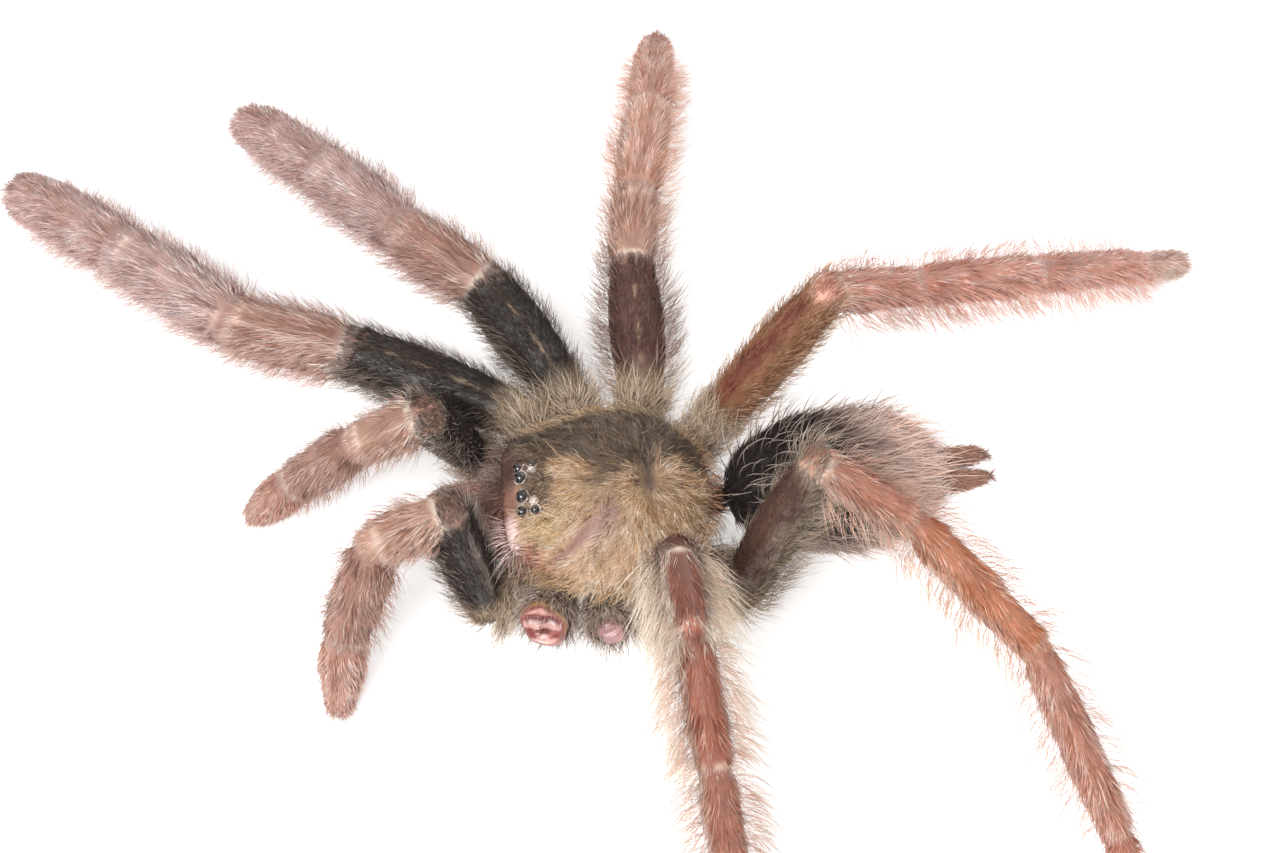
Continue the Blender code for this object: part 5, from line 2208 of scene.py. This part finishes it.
@dataclass
class Studio:
    """The floor, the lights and the camera."""

    target: tuple = (0.00061, 0.00161, 0.005)
    azimuth: float = 81.0
    elevation: float = 60.0
    roll: float = 3.0
    distance: float = 0.188
    lens: float = 50.0
    sensor: float = 36.0
    nearest: float = 0.005
    floor_half: float = 6000.0
    floor_depth: float = 0.05
    floor_glow: float = 0.42
    room: float = 0.8
    lamps: tuple = (("key_soft_box", (0.26, -0.2, 0.42), 0.3, 2.7), ("rim_soft_box", (-0.3, 0.3, 0.3), 0.3, 0.5))

    def build_floor(self) -> None:
        """Lay a matt white board that glows a little, as a light table does."""
        material = bpy.data.materials.new("white_acrylic_light_table")
        material.use_nodes = True
        glow = {"Emission Color": (1.0, 1.0, 1.0, 1.0), "Emission Strength": self.floor_glow}
        board = {"Base Color": (0.8, 0.8, 0.8, 1.0), "Roughness": 0.9}
        feed(material.node_tree.nodes["Principled BSDF"], board | glow)
        corners = array([[-1.0, -1.0, 0.0], [1.0, -1.0, 0.0], [1.0, 1.0, 0.0], [-1.0, 1.0, 0.0]])
        points = corners * self.floor_half - array([0.0, 0.0, self.floor_depth])
        mesh_object("floor", points, array([[0, 1, 2, 3]]), material)

    def light(self, name: str, place: tuple, size: float, power: float) -> None:
        """Hang one square soft light that faces the spider.

        Args:
            name: its name.
            place: where it hangs, in metres.
            size: its side, in metres.
            power: its power, in watts.
        """
        data = bpy.data.lights.new(name, "AREA")
        data.size = size
        data.energy = power
        lamp = bpy.data.objects.new(name, data)
        lamp.location = place
        lamp.rotation_mode = "QUATERNION"
        lamp.rotation_quaternion = Vector(place).to_track_quat("Z", "Y")
        bpy.context.scene.collection.objects.link(lamp)

    def build_lights(self) -> None:
        """Fill the room with white light and hang the soft boxes."""
        world = bpy.data.worlds.new("white_room")
        world.use_nodes = True
        feed(world.node_tree.nodes["Background"], {"Color": (1.0, 1.0, 1.0, 1.0), "Strength": self.room})
        bpy.context.scene.world = world
        for lamp in self.lamps:
            self.light(*lamp)

    def build_camera(self) -> None:
        """Stand the camera high on the spider's left."""
        turn, rise, lean = (math.radians(v) for v in (self.azimuth, self.elevation, self.roll))
        back = Vector((math.sin(turn) * math.cos(rise), -math.cos(turn) * math.cos(rise), math.sin(rise)))
        right = Vector((math.cos(turn), math.sin(turn), 0.0))
        up = back.cross(right)
        tilted_right = right * math.cos(lean) + up * math.sin(lean)
        tilted_up = up * math.cos(lean) - right * math.sin(lean)
        data = bpy.data.cameras.new("camera")
        data.lens = self.lens
        data.sensor_width = self.sensor
        data.clip_start = self.nearest
        camera = bpy.data.objects.new("camera", data)
        turned = Matrix((tilted_right, tilted_up, back)).transposed().to_4x4()
        camera.matrix_world = Matrix.Translation(Vector(self.target) + back * self.distance) @ turned
        bpy.context.scene.collection.objects.link(camera)
        bpy.context.scene.camera = camera

    def build(self) -> None:
        """Set up the whole studio."""
        self.build_floor()
        self.build_lights()
        self.build_camera()
        bpy.context.scene.view_settings.view_transform = "Standard"
        log.info("studio: floor, lights and camera")


# ---- the whole spider


def build_skin(body: BodyFrame, limbs: list[Limb], shield: Shield, trunk: Trunk) -> None:
    """Melt all forms into the skin and hang it on the body.

    Args:
        body: not used.
        limbs: the limbs.
        shield: the shield.
        trunk: the trunk's other forms.
    """
    skin = Skin(grain=SKIN_GRAIN)
    for limb in limbs:
        for segment in limb.segments:
            skin.add_rings(segment.tube.rings(28))
            skin.mark(segment.tube, segment.paint, 0.55, 60, 48, segment.bare)
    skin.add_rings(shield.shell())
    skin.mark(shield, shield.paint, 0.6, 90, 200, shield.bare)
    skin.add_rings(trunk.breastplate())
    skin.mark(trunk.plate_tube(), BodyPaint.under, 0.8)
    for side in Side:
        skin.add_rings(trunk.jaw(side).rings(28))
        skin.mark(trunk.jaw(side), BodyPaint.jaw, 0.8)
        skin.add_rings(trunk.spinneret(side).rings(20))
        skin.mark(trunk.spinneret(side), BodyPaint.spinneret, 0.7)
    skin.add_rings(trunk.abdomen().rings(48))
    skin.mark(trunk.abdomen(), BodyPaint.abdomen, 0.5, 100, 60)
    for number, build in enumerate((LEG_1, LEG_2)):
        skin.add_rings(trunk.stump(number, build).rings(28))
        skin.mark(trunk.stump(number, build), BodyPaint.stump, 0.7)
    flesh = [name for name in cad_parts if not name.startswith(("eye_", "fang_"))]
    hand_over(skin.build(Cuticle("spider_cuticle_grown").material()), "tan_leg_coat", *flesh)


VELVET = Fur(
    1.3, 0.075, 54.0, lift=9.0, side_lift=20.0, fan=0.0, scatter=9.0, root=0.5, tip=1.35, tone=0.5, lean=30.0,
    lock=2.0, tuft=0.7, clump=0.55, streaks=16.0,
)
CURLS = Fur(
    2.4, 0.055, 6.5, lift=22.0, side_lift=40.0, fan=0.0, scatter=22.0, bend=1.5, root=1.0, tip=1.35, lean=34.0,
    pale="#DDBD8C", pale_share=0.6, tone=0.3, long=True,
)
RIM_FRINGE = Fur(
    2.8, 0.065, 20.0, lift=30.0, side_lift=34.0, fan=0.0, scatter=18.0, bend=1.3, root=0.9, tip=1.3, lean=26.0,
    tuft=1.2, pale="#D8BE90", pale_share=0.6, long=True,
)
LASHES = Fur(
    3.0, 0.07, 13.0, lift=30.0, side_lift=32.0, fan=0.0, scatter=20.0, bend=0.8, root=0.8, lean=26.0, pale="#D9BDB0",
    pale_share=0.5, long=True,
)
ABDOMEN_PILE = Fur(2.1, 0.1, 21.0, lift=14.0, side_lift=24.0, fan=8.0, scatter=6.0, root=0.6, tip=1.5, tone=0.28)
ABDOMEN_GUARD = Fur(
    3.6, 0.07, 6.0, lift=18.0, side_lift=30.0, fan=12.0, scatter=8.0, root=1.0, tip=1.4, tuft=1.5, pale="#F2D8CC",
    pale_share=0.7, long=True,
)
SPINNERET_PILE = Fur(1.4, 0.1, 22.0, lift=12.0, side_lift=14.0)
PLATE_PILE = Fur(1.3, 0.13, 9.0, lift=30.0, side_lift=30.0, scatter=16.0)
JAW_PILE = Fur(1.0, 0.1, 15.0, lift=22.0, side_lift=26.0, tone=0.3)
STUMP_RUFF = Fur(1.9, 0.1, 16.0, lift=26.0, side_lift=36.0, scatter=14.0, root=0.5, tip=1.5, tone=0.3)
STUMP_LONG = Fur(3.0, 0.08, 7.0, lift=30.0, side_lift=36.0, scatter=16.0, root=0.8, tip=1.5, long=True)


@dataclass(frozen=True)
class Zone:
    """Where hairs grow on a form: each pair of numbers is where the chance is 0 and where it is 1."""

    share: tuple | None = None
    turn: tuple | None = None

    def __call__(self, spots: Spots) -> Array:
        """Return the chance at each of the places."""
        along = 1.0 if self.share is None else smooth(spots.share, *self.share)
        return along if self.turn is None else along * smooth(spots.turn, *self.turn)


def dress_shield(groomer: Groomer, shield: Shield, material: Material) -> None:
    """Grow the coat of the shield.

    Args:
        groomer: grows the hairs.
        shield: the shield.
        material: the hairs' material.
    """

    def curly(spots: Spots) -> Array:
        """Return the chance of a curl, few on the far half that is painted in shade."""
        return shield.bare(spots) * (1.0 - 0.65 * shield.shade(spots.body[:, 0], spots.body[:, 1]))

    def rim(spots: Spots) -> Array:
        """Return the chance of hair, only along the rim behind the front corners."""
        return smooth(spots.share, 0.9, 0.95) * smooth(spots.body[:, 1], 7.8, 6.4)

    def brow(spots: Spots) -> Array:
        """Return the chance of hair, only along the front edge."""
        return smooth(spots.share, 0.9, 0.95) * smooth(spots.body[:, 1], 7.6, 8.8)

    top = Coat("coat_carapace")
    for fur, chance in ((VELVET, shield.bare), (CURLS, curly), (RIM_FRINGE, rim), (LASHES, brow)):
        groomer.grow(top, 0, shield, fur, shield.paint, chance)
    top.build(material, "carapace_coat")


def dress_trunk(groomer: Groomer, trunk: Trunk, material: Material) -> None:
    """Grow the coats and bristles of the abdomen, the jaws, the stumps and the underside.

    Args:
        groomer: grows the hairs.
        trunk: the trunk's forms.
        material: the hairs' material.
    """
    egg = trunk.abdomen()
    rear = Coat("coat_abdomen", 3)
    groomer.grow(rear, 0, egg, ABDOMEN_PILE, BodyPaint.abdomen)
    groomer.grow(rear, 0, egg, ABDOMEN_GUARD, BodyPaint.abdomen, Zone((0.5, 0.62)))
    for strip, side in enumerate(Side):
        groomer.grow(rear, strip + 1, trunk.spinneret(side), SPINNERET_PILE, BodyPaint.spinneret)
    rear.build(material, "body_coat")

    rest = Coat("coat_trunk", 5)
    groomer.grow(rest, 0, trunk.plate_tube(), PLATE_PILE, BodyPaint.under)
    jaws = [trunk.jaw(side) for side in Side]
    for strip, jaw in enumerate(jaws):
        groomer.grow(rest, strip + 1, jaw, JAW_PILE, BodyPaint.jaw)
    stumps = [trunk.stump(number, build) for number, build in enumerate((LEG_1, LEG_2))]
    for strip, (tube, end) in enumerate(zip(stumps, (0.97, 0.99))):
        for fur in (STUMP_RUFF, STUMP_LONG):
            groomer.grow(rest, strip + 3, tube, fur, BodyPaint.stump, Zone((end, end - 0.1)))
    rest.build(material, "body_coat")

    bristles = (
        (
            Bristles("jaw", 3.0, 0.15, 1.3, curve=0.5, lift=62.0), jaws, Zone(turn=(120.0, 60.0)), BodyPaint.jaw,
            "jaw_coat", 3,
        ),
        (
            Bristles("abdomen", 6.4, 0.12, 0.9, curve=0.6, lift=55.0, tip=2.0, pale="#F0DCCE", pale_share=0.95),
            [egg], Zone((0.12, 0.2), (130.0, 70.0)), BodyPaint.abdomen, "body_coat", 7,
        ),
        (
            Bristles("stump", 1.9, 0.16, 5.0, curve=0.1, lift=30.0, root=0.25, tip=0.25, pale_share=0.0), stumps[:1],
            Zone((0.7, 0.84), (80.0, 110.0)), BodyPaint.stump, "body_coat", 9,
        ),
    )
    for kind, forms, zone, paint, slot, seed in bristles:
        kind.grow(forms, zone, paint, material, slot, seed)


def main() -> None:
    """Build every piece in order and report it."""
    logging.basicConfig(level=logging.INFO, format="%(name)s: %(message)s")
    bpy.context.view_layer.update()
    body = BodyFrame.from_eyes()
    log.info("body frame at %s mm", np.round(body.origin, 3).tolist())
    limbs = make_limbs(body)
    shield = Shield(body)
    trunk = Trunk(body)
    build_skin(body, limbs, shield, trunk)

    groomer = Groomer(np.random.default_rng(SEED), 1.0)
    hairs = Setae("spider_hair_grown").material()
    for limb in limbs:
        limb.dress(groomer, hairs)
    dress_shield(groomer, shield, hairs)
    dress_trunk(groomer, trunk, hairs)

    head = Head(body, shield)
    head.build_eyes(
        Gloss("dark_eye_lens", "#060507", "#15100F", 0.06, 0.5).material(),
        Gloss("pearl_eye_lens", "#A89A92", "#EFE6DE", 0.15, 0.4).material(),
    )
    head.build_rims(Gloss("eye_rim_membrane", "#3E2E28", "#CBB8AE", 0.25, 0.9).material())
    horn = Gloss("horn_fang_polished", "#0C0706", "#2A1410", 0.16, 1.2).material()
    head.build_fangs(horn)
    Claws(limbs).build(horn)
    healed = Cuticle("healed_joint_membrane", 0.22, 0.3, 0.12).material()
    red, mauve = ("#8E4A46", "#D3A298", "#7E403C"), ("#98686C", "#BC8C8E", "#8A6460")
    Scar("scar_stump_1", trunk.stump(0, LEG_1), 2.4, 0.9, 1.5, 0.9, red).build(healed)
    Scar("scar_stump_2", trunk.stump(1, LEG_2), 1.4, 0.8, 0.2, 0.0, mauve).build(healed)
    Studio().build()


if __name__ == "__main__":
    main()
